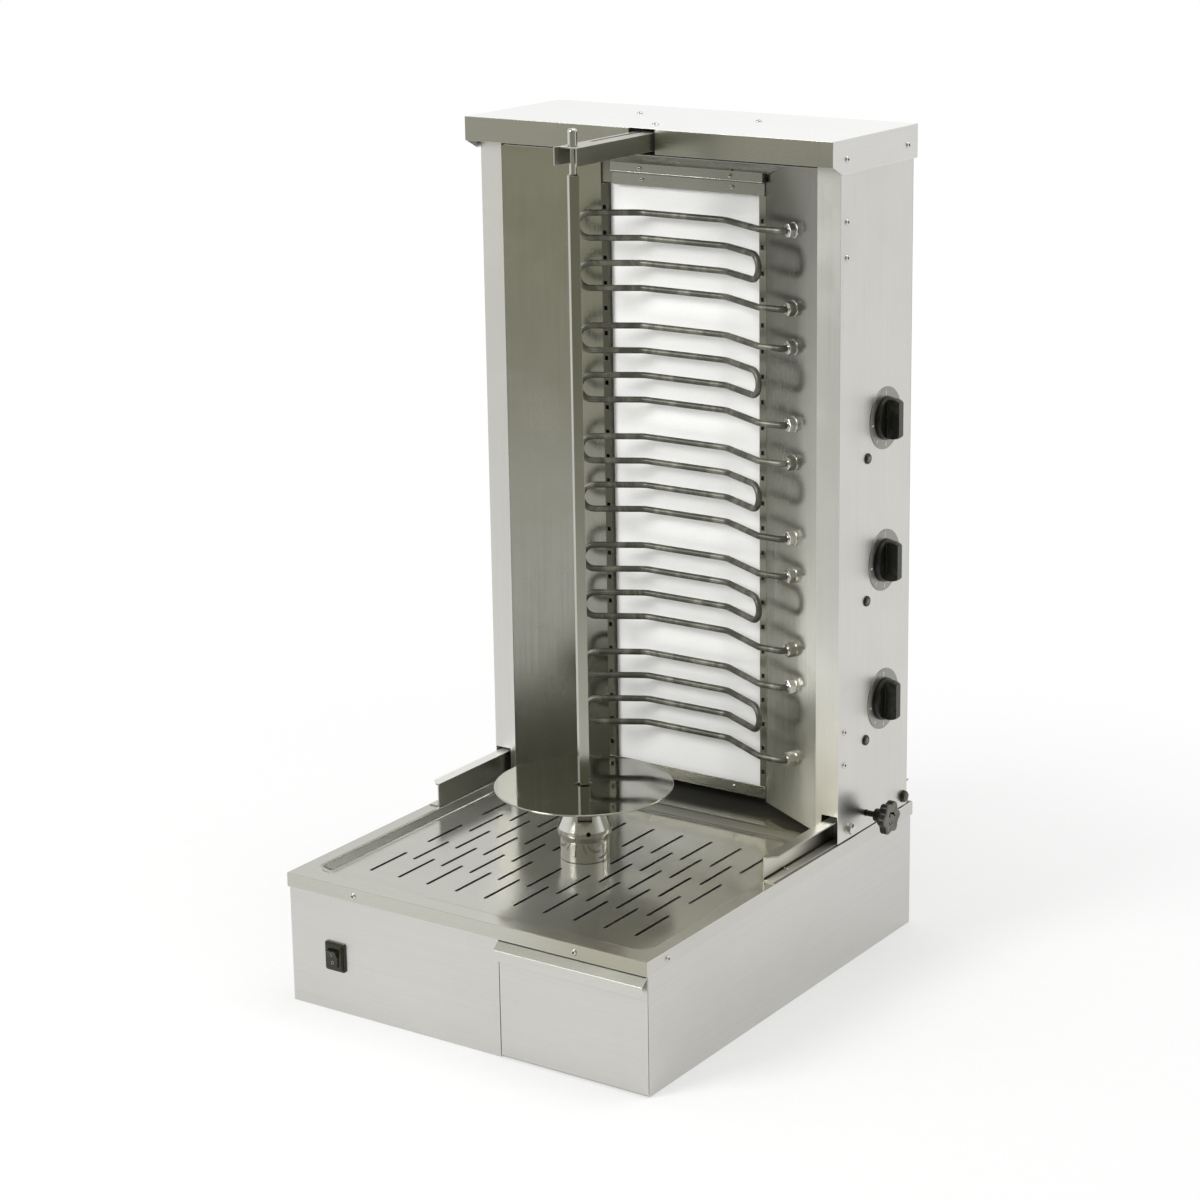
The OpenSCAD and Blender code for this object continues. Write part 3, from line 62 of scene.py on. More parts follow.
def place_camera():
    data = bpy.data.cameras.new("photo_camera")
    data.sensor_width = 36
    data.lens = data.sensor_width * FOCUS_PIXELS / IMAGE_PIXELS
    data.shift_x = 0.5 - AIM_PIXEL[0] / IMAGE_PIXELS
    data.shift_y = AIM_PIXEL[1] / IMAGE_PIXELS - 0.5
    data.clip_end = 50
    camera = bpy.data.objects.new("photo_camera", data)
    camera.matrix_world = (Matrix.Translation(CAMERA_AT) @ Matrix.Rotation(CAMERA_YAW, 4, "Z")
                           @ Matrix.Rotation(math.pi / 2 - CAMERA_PITCH, 4, "X")
                           @ Matrix.Rotation(CAMERA_ROLL, 4, "Z"))
    bpy.context.scene.collection.objects.link(camera)
    bpy.context.scene.camera = camera


place_camera()

# Finishes


def tone(red, green, blue):
    """A colour given as it looks on a screen, 0 to 255."""
    def plain(value):
        share = value / 255
        return share / 12.92 if share <= 0.04045 else ((share + 0.055) / 1.055) ** 2.4
    return (plain(red), plain(green), plain(blue), 1)


def times(colour, factor, more=0):
    """A colour made darker or lighter, white at most."""
    return tuple(min(1, c * factor + more) for c in colour[:3]) + (1,)


def put(tree, socket, value):
    """Gives a socket a value, or the output that feeds it."""
    if isinstance(value, bpy.types.NodeSocket):
        tree.links.new(value, socket)
    else:
        socket.default_value = value


def add(tree, kind, inputs=None, **settings):
    """A new node, with its settings and what its named or numbered inputs get."""
    node = tree.nodes.new(kind)
    for name, value in settings.items():
        setattr(node, name, value)
    for name, value in (inputs or {}).items():
        put(tree, node.inputs[name], value)
    return node


def noise(tree, place, scale, detail, rough, distort=0):
    inputs = {"Vector": place, "Scale": scale, "Detail": detail, "Roughness": rough, "Distortion": distort}
    return add(tree, "ShaderNodeTexNoise", inputs).outputs["Fac"]


def stretched(tree, place, scale):
    return add(tree, "ShaderNodeMapping", {"Vector": place, "Scale": scale}).outputs["Vector"]


def part_of(tree, vector, axis):
    return add(tree, "ShaderNodeSeparateXYZ", {0: vector}).outputs[axis]


def between(tree, value, low, high, out_low=0, out_high=1, smooth=False):
    """Carries a value from one range over to another."""
    ends = {"Value": value, "From Min": low, "From Max": high, "To Min": out_low, "To Max": out_high}
    return add(tree, "ShaderNodeMapRange", ends,
               interpolation_type="SMOOTHSTEP" if smooth else "LINEAR").outputs["Result"]


def maths(tree, operation, *values):
    return add(tree, "ShaderNodeMath", dict(enumerate(values)), operation=operation).outputs[0]


def vector_maths(tree, operation, inputs):
    return add(tree, "ShaderNodeVectorMath", inputs, operation=operation).outputs


def blend_colours(tree, share, first, second):
    return add(tree, "ShaderNodeMix", {0: share, 6: first, 7: second}, data_type="RGBA").outputs[2]


def tinted(tree, base, colour, value, low, high, most=1, smooth=True):
    """Blends a colour in where a value rises from low to high."""
    return blend_colours(tree, between(tree, value, low, high, 0, most, smooth), base, colour)


def new_group(name, inputs, outputs):
    """A node group: its tree, what it is given and what it puts out."""
    tree = bpy.data.node_groups.new(name, "ShaderNodeTree")
    for way, sockets in (("INPUT", inputs), ("OUTPUT", outputs)):
        for label, kind in sockets.items():
            tree.interface.new_socket(label, in_out=way, socket_type=f"NodeSocket{kind}")
    return tree, add(tree, "NodeGroupInput").outputs, add(tree, "NodeGroupOutput").inputs


def make_brushing():
    """Long fine scratches along one axis: their height, and how dull each place is."""
    tree, given, result = new_group("brushed_grain", {"Place": "Vector", "Fine": "Vector", "Coarse": "Vector"},
                                    {"Height": "Float", "Dull": "Float"})
    fine, coarse = [
        noise(tree, vector_maths(tree, "MULTIPLY", {0: given["Place"], 1: given[size]})[0], 1, 2, 0.6)
        for size in ("Fine", "Coarse")]
    cloud = noise(tree, given["Place"], 5, 3, 0.55)
    put(tree, result["Height"], maths(tree, "MULTIPLY_ADD", fine, 0.6, maths(tree, "MULTIPLY", coarse, 0.4)))
    dull = maths(tree, "MULTIPLY_ADD", coarse, 0.5, maths(tree, "MULTIPLY", cloud, 0.5))
    put(tree, result["Dull"], between(tree, dull, 0.3, 0.7))
    return tree


def make_handling():
    """Faint smudges and wiped patches, as on sheet steel that hands have touched."""
    tree, given, result = new_group("handling_marks", {"Place": "Vector", "Size": "Float"}, {"Smudge": "Float"})
    patch = noise(tree, given["Place"], given["Size"], 5, 0.62, 0.6)
    put(tree, result["Smudge"], between(tree, patch, 0.48, 0.72, smooth=True))
    return tree


def make_edge_wear_and_highlight():
    """Bright lines on outer edges, partly rubbed by use and partly a painted highlight."""
    tree, given, result = new_group("edge_wear_and_highlight", {"Place": "Vector", "Width": "Float"}, {"Worn_and_lit": "Float"})
    rounded = add(tree, "ShaderNodeBevel", {"Radius": given["Width"]}, samples=3)
    normals = [node.outputs["Normal"] for node in (rounded, add(tree, "ShaderNodeNewGeometry"))]
    cosine = vector_maths(tree, "DOT_PRODUCT", dict(enumerate(normals)))["Value"]
    edge = between(tree, cosine, 0.995, 0.86)
    broken = between(tree, noise(tree, given["Place"], 60, 4, 0.6), 0.38, 0.58)
    put(tree, result["Worn_and_lit"], maths(tree, "MULTIPLY", edge, maths(tree, "MULTIPLY_ADD", broken, 0.6, 0.4)))
    return tree


# The heights in metres between which the painted light and shade on the tower's walls change their tone
FADE_LOW, FADE_HIGH = 0.2, 1.0


def make_painted_height_light():
    """Painted light and shade: a slow change of tone over the tower's height, lighter or darker as the walls
    are lit or stand in their own shade.
    """
    inputs = {"Place": "Vector", "Colour": "Color", "Foot": "Float", "Middle": "Float", "Top": "Float"}
    tree, given, result = new_group("painted_height_light", inputs, {"Faded": "Color"})
    share = between(tree, part_of(tree, given["Place"], "Z"), FADE_LOW, FADE_HIGH)
    ends = []
    for end, slope, start in (("Foot", -2, 1), ("Top", 2, -1)):
        near = maths(tree, "MAXIMUM", maths(tree, "MULTIPLY_ADD", share, slope, start), 0)
        ends.append(maths(tree, "MULTIPLY", near, maths(tree, "SUBTRACT", given[end], given["Middle"])))
    level = maths(tree, "ADD", given["Middle"], maths(tree, "ADD", *ends))
    put(tree, result["Faded"], vector_maths(tree, "SCALE", {0: given["Colour"], "Scale": level})[0])
    return tree


BRUSHING = make_brushing()
HANDLING = make_handling()
EDGES = make_edge_wear_and_highlight()
PAINTED_HEIGHT_LIGHT = make_painted_height_light()


def use_group(tree, group, **inputs):
    return add(tree, "ShaderNodeGroup", inputs, node_tree=group).outputs


def new_finish(name, specular=0.5):
    material = bpy.data.materials.new(name)
    material.use_nodes = True
    tree = material.node_tree
    shader = tree.nodes["Principled BSDF"]
    shader.inputs["Specular IOR Level"].default_value = specular
    return material, tree, shader, add(tree, "ShaderNodeTexCoord").outputs["Object"]


def dress(tree, shader, colour, rough, height, strength, distance=0.0002):
    """Gives a shader its colour, its roughness and a fine relief."""
    put(tree, shader.inputs["Base Color"], colour)
    put(tree, shader.inputs["Roughness"], rough)
    relief = add(tree, "ShaderNodeBump", {"Strength": strength, "Distance": distance, "Height": height})
    put(tree, shader.inputs["Normal"], relief.outputs["Normal"])


# How often the fine scratches and the coarse streaks change along the brushing and across it, per metre
SCRATCHES = (18, 1500)
STREAKS = (5, 420)
# Steel's shades against its own colour: brushed dark, brushed light, and the bright edge, rubbed and partly a
# painted highlight, with what is added
DARKER, LIGHTER, WORN_AND_LIT = 0.96, 1.03, (1.35, 0.05)
# How much rougher a smudge makes steel, and how much smoother a bright rubbed edge makes it
SMUDGE_ROUGHER, WEAR_SMOOTHER = 0.06, -0.08
# How often smudges change per metre, and how wide a bright edge, rubbed and partly painted highlight, is in
# metres
SMUDGE_SIZE, EDGE_WIDTH = 9.0, 0.0012
# Painted shade: the dark tone laid on steel towards the tower, and the warm one laid along X
PAINTED_SHADE_TONE = tone(64, 62, 54)
WARM_SHADE = tone(120, 113, 62)


def steel(name, colour, along, dull, spread=0.12, grain=0.25, tint=None, wear_and_highlight=0.5, smudge=0.08, fade=None,
          metal=1, back_painted_shade=None, shade=None):
    """Sheet or bar steel, brushed along an axis, with smudges and bright edges.

    Painted shade darkens it along Y towards the tower and along X in a warm tone, each from a start to an end
    by a share.
    """
    material, tree, shader, place = new_finish(name)
    fine, coarse = [tuple(slow if axis == along else fast for axis in "xyz")
                    for slow, fast in (SCRATCHES, STREAKS)]
    brush = use_group(tree, BRUSHING, Place=place, Fine=fine, Coarse=coarse)
    smudges = use_group(tree, HANDLING, Place=place, Size=SMUDGE_SIZE)["Smudge"]
    darker = times(colour, DARKER)
    base = blend_colours(tree, brush["Dull"], times(colour, LIGHTER), darker)
    if tint:
        base = tinted(tree, base, tint, noise(tree, place, 6, 4, 0.55, 0.4), 0.42, 0.7)
    base = blend_colours(tree, maths(tree, "MULTIPLY", smudges, smudge), base, darker)
    # Painted light and shade over the tower's height
    if fade:
        levels = dict(zip(("Foot", "Middle", "Top"), fade))
        base = use_group(tree, PAINTED_HEIGHT_LIGHT, Place=place, Colour=base, **levels)["Faded"]
    # Painted shade: darker towards the tower along Y, and warmer and darker along X
    for axis, ramp, dark in (("Y", back_painted_shade, PAINTED_SHADE_TONE), ("X", shade, WARM_SHADE)):
        if ramp:
            base = tinted(tree, base, dark, part_of(tree, place, axis), *ramp)
    # Bright edges: partly rubbed by use, partly a painted highlight
    worn_and_lit = maths(tree, "MULTIPLY", use_group(tree, EDGES, Place=place, Width=EDGE_WIDTH)["Worn_and_lit"], wear_and_highlight)
    shader.inputs["Metallic"].default_value = metal
    rough = between(tree, brush["Dull"], 0, 1, dull - spread / 2, dull + spread / 2)
    rough = maths(tree, "MULTIPLY_ADD", smudges, SMUDGE_ROUGHER, rough)
    rough = maths(tree, "MULTIPLY_ADD", worn_and_lit, WEAR_SMOOTHER, rough)
    base = blend_colours(tree, worn_and_lit, base, times(colour, *WORN_AND_LIT))
    dress(tree, shader, base, rough, brush["Height"], grain, 0.00005)
    return material


# Mouldings: how pale scuffs and edges get, how strongly each shows, and how much rougher a scuff is
PALER = (2.2, 0.012)
SCUFF_SHARE, PALE_EDGE_SHARE, SCUFF_ROUGHER = 0.25, 0.7, 0.12


def moulded(name, colour, dull, pebble=900, depth=0.15, specular=0.5, worn_and_lit_to=None):
    """Moulded plastic or paint with a fine grain, scuffs and slightly paler edges."""
    material, tree, shader, place = new_finish(name, specular)
    edges = use_group(tree, EDGES, Place=place, Width=0.0008)["Worn_and_lit"]
    scuffs = use_group(tree, HANDLING, Place=place, Size=38.0)["Smudge"]
    pale = worn_and_lit_to or times(colour, *PALER)
    base = blend_colours(tree, maths(tree, "MULTIPLY", scuffs, SCUFF_SHARE), colour, pale)
    # Paler edges: partly rubbed by use, partly a painted highlight
    base = blend_colours(tree, maths(tree, "MULTIPLY", edges, PALE_EDGE_SHARE), base, pale)
    rough = between(tree, scuffs, 0, 1, dull, dull + SCUFF_ROUGHER)
    dress(tree, shader, base, rough, noise(tree, place, pebble, 2, 0.5), depth, 0.0001)
    return material


def sheath():
    """Heat-darkened tube: dark grey with paler oxide bands and a fine dry surface."""
    material, tree, shader, place = new_finish("heated_tube")
    bands = noise(tree, stretched(tree, place, (30, 30, 8)), 1, 4, 0.6, 0.8)
    spots = noise(tree, place, 260, 3, 0.6)
    base = tinted(tree, tone(78, 78, 70), tone(122, 121, 110), bands, 0.42, 0.66)
    base = tinted(tree, base, tone(54, 53, 46), spots, 0.56, 0.74, 0.5, smooth=False)
    shader.inputs["Metallic"].default_value = 0.6
    dress(tree, shader, base, between(tree, spots, 0.3, 0.7, 0.34, 0.5), spots, 0.3)
    return material


def board():
    """White insulating board behind the heaters, with soft smoke marks."""
    material, tree, shader, place = new_finish("white_board", 0.3)
    cloud = noise(tree, stretched(tree, place, (3, 3, 6)), 1, 4, 0.6, 0.5)
    grain = noise(tree, place, 700, 3, 0.6)
    base = tinted(tree, tone(248, 248, 246), tone(226, 226, 220), cloud, 0.45, 0.8, 0.55)
    base = tinted(tree, base, tone(222, 221, 214), grain, 0.5, 0.8, 0.25, smooth=False)
    dress(tree, shader, base, between(tree, grain, 0.3, 0.7, 0.62, 0.8), grain, 0.25)
    return material


def lens():
    """Smoky ribbed plastic under a clear coat."""
    material, tree, shader, place = new_finish("lamp_lens", 0.6)
    shader.inputs["Coat Weight"].default_value = 0.3
    ribs = noise(tree, place, 900, 2, 0.5)
    base = tinted(tree, tone(96, 90, 84), tone(70, 60, 55), ribs, 0.4, 0.7, smooth=False)
    dress(tree, shader, base, between(tree, ribs, 0.3, 0.7, 0.18, 0.32), ribs, 0.2)
    return material


EVEN = dict(spread=0.06, grain=0.05)
WALL = dict(tint=tone(168, 167, 157), grain=0.12)
# Each steel's colour on a screen, the axis that it is brushed along, its dullness, and what else differs
STEELS = {
    "base_sheet": ((205, 204, 200), "x", 0.33, EVEN),
    "side_sheet": ((207, 206, 201), "z", 0.34, dict(grain=0.05)),
    "base_end_sheet": ((205, 204, 200), "y", 0.33, EVEN),
    "deck_end_sheet": ((200, 199, 194), "y", 0.3, EVEN),
    "cap_end_sheet": ((210, 209, 205), "y", 0.3, dict(spread=0.06, grain=0.04)),
    "cap_sheet": ((212, 211, 207), "x", 0.3, EVEN),
    # The cap's top lighter as painted light, and its front skirt darker as painted shade
    "cap_top_painted_light": ((243, 243, 241), "x", 0.3, dict(wear_and_highlight=0.2, grain=0.1)),
    "cap_front_painted_shade": ((154, 153, 141), "x", 0.27, dict(spread=0.06, grain=0.06)),
    # The drawer handle's slope darker as painted shade
    "handle_painted_shade": ((166, 165, 156), "x", 0.3, dict(spread=0.04, grain=0.03, wear_and_highlight=1)),
    # The deck: painted shadow under the tower along Y, and warm painted shade towards its right along X
    "deck_sheet": ((184, 183, 174), "x", 0.16, dict(spread=0.06, grain=0.06, metal=0.74,
                                                    back_painted_shade=(0.118, 0.142, 0.7), shade=(0.04, 0.2, 0.35))),
    # The walls' painted light and shade: the left darker low and lighter high, the right lighter low and darker
    # high
    "left_wall_sheet": ((176, 175, 166), "z", 0.22, dict(WALL, fade=(0.52, 1.08, 1.45))),
    "right_wall_sheet": ((176, 175, 166), "z", 0.22, dict(WALL, fade=(2.0, 1.0, 0.5))),
    # The reflectors' vented strips: darker copies of the wall steel as painted shade
    "left_strip_painted_shade": ((88, 87, 76), "z", 0.3, dict(wear_and_highlight=0.8)),
    "right_strip_painted_shade": ((140, 139, 127), "z", 0.3, {}),
    # Painted shade: a dark dull steel for the trim's seam strip and back plate
    "painted_shade_steel": ((118, 117, 104), "z", 0.5, dict(wear_and_highlight=0.1, metal=0.4)),
    "trim_sheet": ((150, 149, 140), "x", 0.27, dict(spread=0.06, grain=0.08)),
    "mirror_steel": ((168, 168, 160), "x", 0.05, dict(spread=0.03, grain=0.02, smudge=0.15)),
    "turned_steel": ((200, 199, 193), "z", 0.16, dict(spread=0.08, grain=0.03)),
    "bar_steel": ((164, 163, 152), "z", 0.2, dict(grain=0.05)),
    "arm_sheet": ((172, 171, 160), "y", 0.3, dict(metal=0.92)),
    "rail_sheet": ((164, 163, 154), "y", 0.34, {}),
    # The rails' lit and shaded faces: painted light on web, foot and top, painted shade in the crease and
    # towards the tower
    "rail_web_painted_light_and_shade": ((200, 198, 186), "y", 0.38, dict(back_painted_shade=(0.02, 0.1, 0.85))),
    "rail_foot_painted_light_and_shade": ((214, 212, 202), "y", 0.45, dict(metal=0.7, back_painted_shade=(0.09, 0.13, 0.6))),
    "rail_top_painted_light": ((232, 232, 226), "y", 0.45, dict(metal=0.45)),
    "rail_crease_painted_shade": ((70, 68, 59), "y", 0.5, dict(wear_and_highlight=0.1)),
    "plain_sheet": ((168, 167, 162), "x", 0.4, {}),
    "bright_screw": ((206, 205, 200), "x", 0.18, dict(grain=0.1)),
    "dark_bolt": ((84, 83, 72), "x", 0.3, {}),
    # Black steel for the hub's screw, and as painted shade in screw recesses and on the clamp's stem
    "black_steel_and_painted_shade": ((48, 47, 44), "z", 0.4, {}),
    "dial_sheet": ((148, 147, 140), "y", 0.36, {}),
    "bronze": ((196, 160, 104), "z", 0.35, {}),
}
# Each moulding's colour on a screen, its dullness, and what else differs
MOULDINGS = {
    # The knobs' paler edges are partly rubbed and partly a painted highlight
    "black_moulding": ((15, 15, 10), 0.3, dict(specular=0.3, worn_and_lit_to=tone(104, 104, 88))),
    "black_gloss": ((38, 39, 28), 0.22, dict(depth=0.06, specular=0.35)),
    # Painted light on the knobs: a sheen on the heat knobs' outward faces, and a lighter face on the clamp knob
    "knob_painted_sheen": ((48, 48, 38), 0.26, dict(specular=0.4)),
    "knob_face_painted_light": ((96, 95, 80), 0.34, {}),
    "switch_mark": ((132, 132, 120), 0.4, {}),
    "dial_mark": ((228, 228, 222), 0.5, {}),
    "cream_moulding": ((228, 222, 202), 0.4, {}),
    "gear_paint": ((98, 102, 104), 0.45, dict(pebble=320, depth=0.3)),
}
FINISH = {"heated_tube": sheath(), "white_board": board(), "lamp_lens": lens()}
for finish, (colour, along, dull, more) in STEELS.items():
    FINISH[finish] = steel(finish, tone(*colour), along, dull, **more)
for finish, (colour, dull, more) in MOULDINGS.items():
    FINISH[finish] = moulded(finish, tone(*colour), dull, **more)

NODES_WITH = {
    "base_sheet": "base_shell drip_drawer",
    "side_sheet": "side_panel_left side_panel_right rear_cover",
    "cap_sheet": "tower_cap",
    "deck_sheet": "deck_cover",
    "left_wall_sheet": "reflector_left",
    "right_wall_sheet": "reflector_right",
    "trim_sheet": "top_trim bottom_trim",
    "mirror_steel": "meat_disc",
    "turned_steel": "hub top_pin drive_shaft",
    "bar_steel": "spit",
    "rail_sheet": "rail_left rail_right",
    "arm_sheet": "support_arm arm_guide",
    "plain_sheet": "base_plate runner_left runner_right motor_bracket tower_floor tower_ceiling "
                   "slide_block_left slide_block_right",
    # The disc's collar takes the dark bolt steel as painted shade in the gap around the disc's hole
    "dark_bolt": "disc_collar",
    "bright_screw": "cover_screws rail_screws tower_screws trim_screws arm_screw guide_bolts "
                    "element_glands",
    "black_steel_and_painted_shade": "hub_screw",
    "dial_sheet": "dial_plates",
    "heated_tube": "heating_element_1 heating_element_2 heating_element_3 heating_element_4 "
                   "heating_element_5",
    "white_board": "back_panel",
    "black_moulding": "control_knob_1 control_knob_2 control_knob_3 clamp_knob switch_housing cable_gland",
    "black_gloss": "switch_rocker",
    "lamp_lens": "pilot_lamps",
    "cream_moulding": "heat_regulator_1 heat_regulator_2 heat_regulator_3 terminal_block",
    "gear_paint": "gear_motor",
    "bronze": "shaft_bush",
}
FINISH_OF = {name: finish for finish, names in NODES_WITH.items() for name in names.split()}
for node_name, finish in FINISH_OF.items():
    materials = frame["nodes"][node_name].data.materials
    materials.clear()
    materials.append(FINISH[finish])

BODY_OF = {name: body for body, members in frame["record"]["behaviour"]["bodies"].items() for name in members}


# Tools for pieces

VERT, EDGE, FACE = bmesh.types.BMVert, bmesh.types.BMEdge, bmesh.types.BMFace


def only(kind, made):
    return [part for part in made if isinstance(part, kind)]


def outward(bm):
    bmesh.ops.recalc_face_normals(bm, faces=bm.faces)
    return bm


def centre_of(face):
    return face.calc_center_median()


def make_object(name, bm, finishes, smooth_angle=40):
    """Makes an object of a bmesh that looks smooth over folds below an angle."""
    for face in bm.faces:
        face.smooth = True
    for edge in bm.edges:
        edge.smooth = edge.calc_face_angle(0) < math.radians(smooth_angle)
    mesh = bpy.data.meshes.new(name)
    bm.to_mesh(mesh)
    bm.free()
    for finish in finishes:
        mesh.materials.append(FINISH[finish])
    piece = bpy.data.objects.new(name, mesh)
    bpy.context.scene.collection.objects.link(piece)
    return piece


def new_piece(name, bm, node, smooth_angle=40, weighted=True, finish=None, second=None):
    """Makes a mesh piece that stands for a CAD node, has its finish and rides on its body."""
    finish = finish or FINISH_OF[node]
    piece = make_object(name, bm, [finish, second] if second else [finish], smooth_angle)
    if weighted:
        piece.modifiers.new("even_shading", "WEIGHTED_NORMAL").keep_sharp = True
    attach(piece, BODY_OF[node])
    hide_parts(node)
    return piece


def extra_piece(name, bm, finish, node):
    """Makes a piece that stands for no CAD node of its own, but belongs with one."""
    piece = make_object(name, bm, [finish])
    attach(piece, BODY_OF[node])


def second_finish(bm, chosen):
    """Marks the faces that take a piece's second finish."""
    bm.normal_update()
    for face in bm.faces:
        if chosen(face):
            face.material_index = 1


def add_finish(piece, finish, chosen):
    """Gives a finished piece one more finish, on faces chosen by normal and centre."""
    piece.data.materials.append(FINISH[finish])
    for face in piece.data.polygons:
        if chosen(face.normal, face.center):
            face.material_index = len(piece.data.materials) - 1


def looks_sideways(normal, _centre):
    return abs(normal.x) > 0.7


def merged_copy(node):
    """A CAD node's mesh with its points joined and its flat faces whole."""
    bm = bmesh.new()
    bm.from_mesh(frame["nodes"][node].data)
    bmesh.ops.remove_doubles(bm, verts=bm.verts, dist=0.002 * MM)
    bmesh.ops.dissolve_limit(bm, angle_limit=math.radians(0.4), verts=bm.verts, edges=bm.edges,
                             use_dissolve_boundaries=False)
    return bm


def soften(bm, width, segments=2, fold=35, shortest=3, chosen=None):
    """Rounds the long sharp edges of a sheet or block, by a width in millimetres."""
    sharp = [e for e in bm.edges if e.is_manifold and e.calc_face_angle(0) > math.radians(fold)
             and e.calc_length() > shortest * MM and (chosen is None or chosen(e))]
    bmesh.ops.bevel(bm, geom=sharp, offset=width * MM, offset_type="OFFSET", segments=segments, profile=0.5,
                    affect="EDGES", material=-1, clamp_overlap=False)


def soften_over(bm, height, width, segments, fold=35):
    """Rounds the sharp edges that lie wholly over a height."""
    soften(bm, width, segments, fold, 0, lambda e: min(v.co.z for v in e.verts) > height * MM)


def cut_across(bm, point, normal):
    """Cuts faces along a plane and keeps both sides."""
    bmesh.ops.bisect_plane(bm, geom=list(bm.verts) + list(bm.edges) + list(bm.faces), plane_co=point,
                           plane_no=normal, dist=0.0001 * MM)


# Sheet and block pieces with rounded folds and edges

SHEET_ROUNDING = 0.4
SHEET = 2 * MM
# The reflectors' vented strips lie behind this depth and within this half width
STRIP_FRONT = 188.6 * MM
STRIP_HALF_WIDTH = 130 * MM


def softened(name, node):
    bm = merged_copy(node)
    soften(bm, SHEET_ROUNDING)
    return new_piece(name, bm, node)


add_finish(softened("base_body", "base_shell"), "base_end_sheet", looks_sideways)
for piece_name, node_name in {
        "left_side_sheet": "side_panel_left", "right_side_sheet": "side_panel_right",
        "back_sheet": "rear_cover", "upper_trim": "top_trim", "lower_trim": "bottom_trim",
        "spit_arm": "support_arm"}.items():
    softened(piece_name, node_name)
# The vented strips take a darker steel as painted shade
for hand in ("left", "right"):
    add_finish(softened(f"{hand}_reflector", f"reflector_{hand}"), f"{hand}_strip_painted_shade",
               lambda n, c: c.y > STRIP_FRONT and abs(c.x) < STRIP_HALF_WIDTH)

cap = softened("cap", "tower_cap")
cap_low, cap_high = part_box("tower_cap")
add_finish(cap, "cap_end_sheet", looks_sideways)
# Painted shade on the cap's front skirt; painted light on its top and on the face near its left end that looks
# right
add_finish(cap, "cap_front_painted_shade", lambda n, c: n.y < -0.8 and c.y < cap_low[1] + 1 * MM)
add_finish(cap, "cap_top_painted_light", lambda n, c: (n.z > 0.9 and c.z > cap_high[2] - 1 * MM)
           or (n.x > 0.8 and c.x < cap_low[0] + 3 * MM))
# The handle's sloping faces darker as painted shade
add_finish(softened("drawer_and_handle", "drip_drawer"), "handle_painted_shade", lambda n, c: n.z > 0.4 and n.y < -0.4)

# How far the painted shade in the crease reaches up the rail's web and out over its foot
CREASE_UP = 2.8 * MM
CREASE_OUT = 1.8 * MM


def make_rail(name, node, side):
    """A rail whose foot, web and, on the left, top are lighter as painted light, with painted shade in the
    crease along its bend and on its web and foot towards the tower.
    """
    low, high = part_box(node)
    foot = low[2] + SHEET
    web = min(abs(low[0]), abs(high[0])) + SHEET
    bm = merged_copy(node)
    soften(bm, SHEET_ROUNDING)
    cut_across(bm, (0, 0, foot + CREASE_UP), (0, 0, 1))
    cut_across(bm, (side * (web + CREASE_OUT), 0, 0), (1, 0, 0))
    rail = new_piece(name, bm, node)
    # Painted light on the web, foot and top, and painted shade in the crease
    add_finish(rail, "rail_web_painted_light_and_shade", lambda n, c: n.x * side > 0.7 and abs(c.x) < web + 1 * MM)
    add_finish(rail, "rail_foot_painted_light_and_shade", lambda n, c: n.z > 0.7 and c.z < foot + 1 * MM)
    if side < 0:
        add_finish(rail, "rail_top_painted_light", lambda n, c: n.z > 0.7 and c.z > high[2] - 1 * MM)
    add_finish(rail, "rail_crease_painted_shade", lambda n, c: foot - 1 * MM < c.z < foot + CREASE_UP
               and web - 0.5 * MM < abs(c.x) < web + CREASE_OUT and (n.x * side > 0.5 or n.z > 0.5))


make_rail("left_rail", "rail_left", -1)
make_rail("right_rail", "rail_right", 1)

# The heating tubes

# How far the slanted wall runs back and across
WALL_ANGLE = math.atan2(63.8, 114.5)
WALL_ALONG = Vector((math.cos(WALL_ANGLE), -math.sin(WALL_ANGLE)))
WALL_INWARD = Vector((math.sin(WALL_ANGLE), math.cos(WALL_ANGLE)))
# Where the right wall meets the strip beside the back panel
WALL_BACK = Vector((128 * MM, 190 * MM))
TUBE_RADIUS = 4.25 * MM
TUBE_SIDES = 14
RUN_STEP = 33.5 * MM
WING_LENGTH = 86 * MM
WIDE_BEND = 24 * MM
LEAD_BEND = 9 * MM
MIDDLE_RIGHT = Vector((73 * MM, 181 * MM))
MIDDLE_LEFT = Vector((-57 * MM, 181 * MM))
NUT_LENGTH = 10
LEAD_GAP = 2.3 * MM + NUT_LENGTH * MM + LEAD_BEND * math.tan((math.pi / 2 - WALL_ANGLE) / 2)
LEAD_Y = MIDDLE_RIGHT.y - WING_LENGTH * math.sin(WALL_ANGLE) + LEAD_GAP * math.cos(WALL_ANGLE)
LEAD_AT = Vector((WALL_BACK.x + (WALL_BACK.y - LEAD_Y) / math.tan(WALL_ANGLE), LEAD_Y))
TUBE_TAIL = 34 * MM
ELEMENTS = 5
TOP_ELEMENT_Z = 927 * MM
ELEMENT_PITCH = 151 * MM


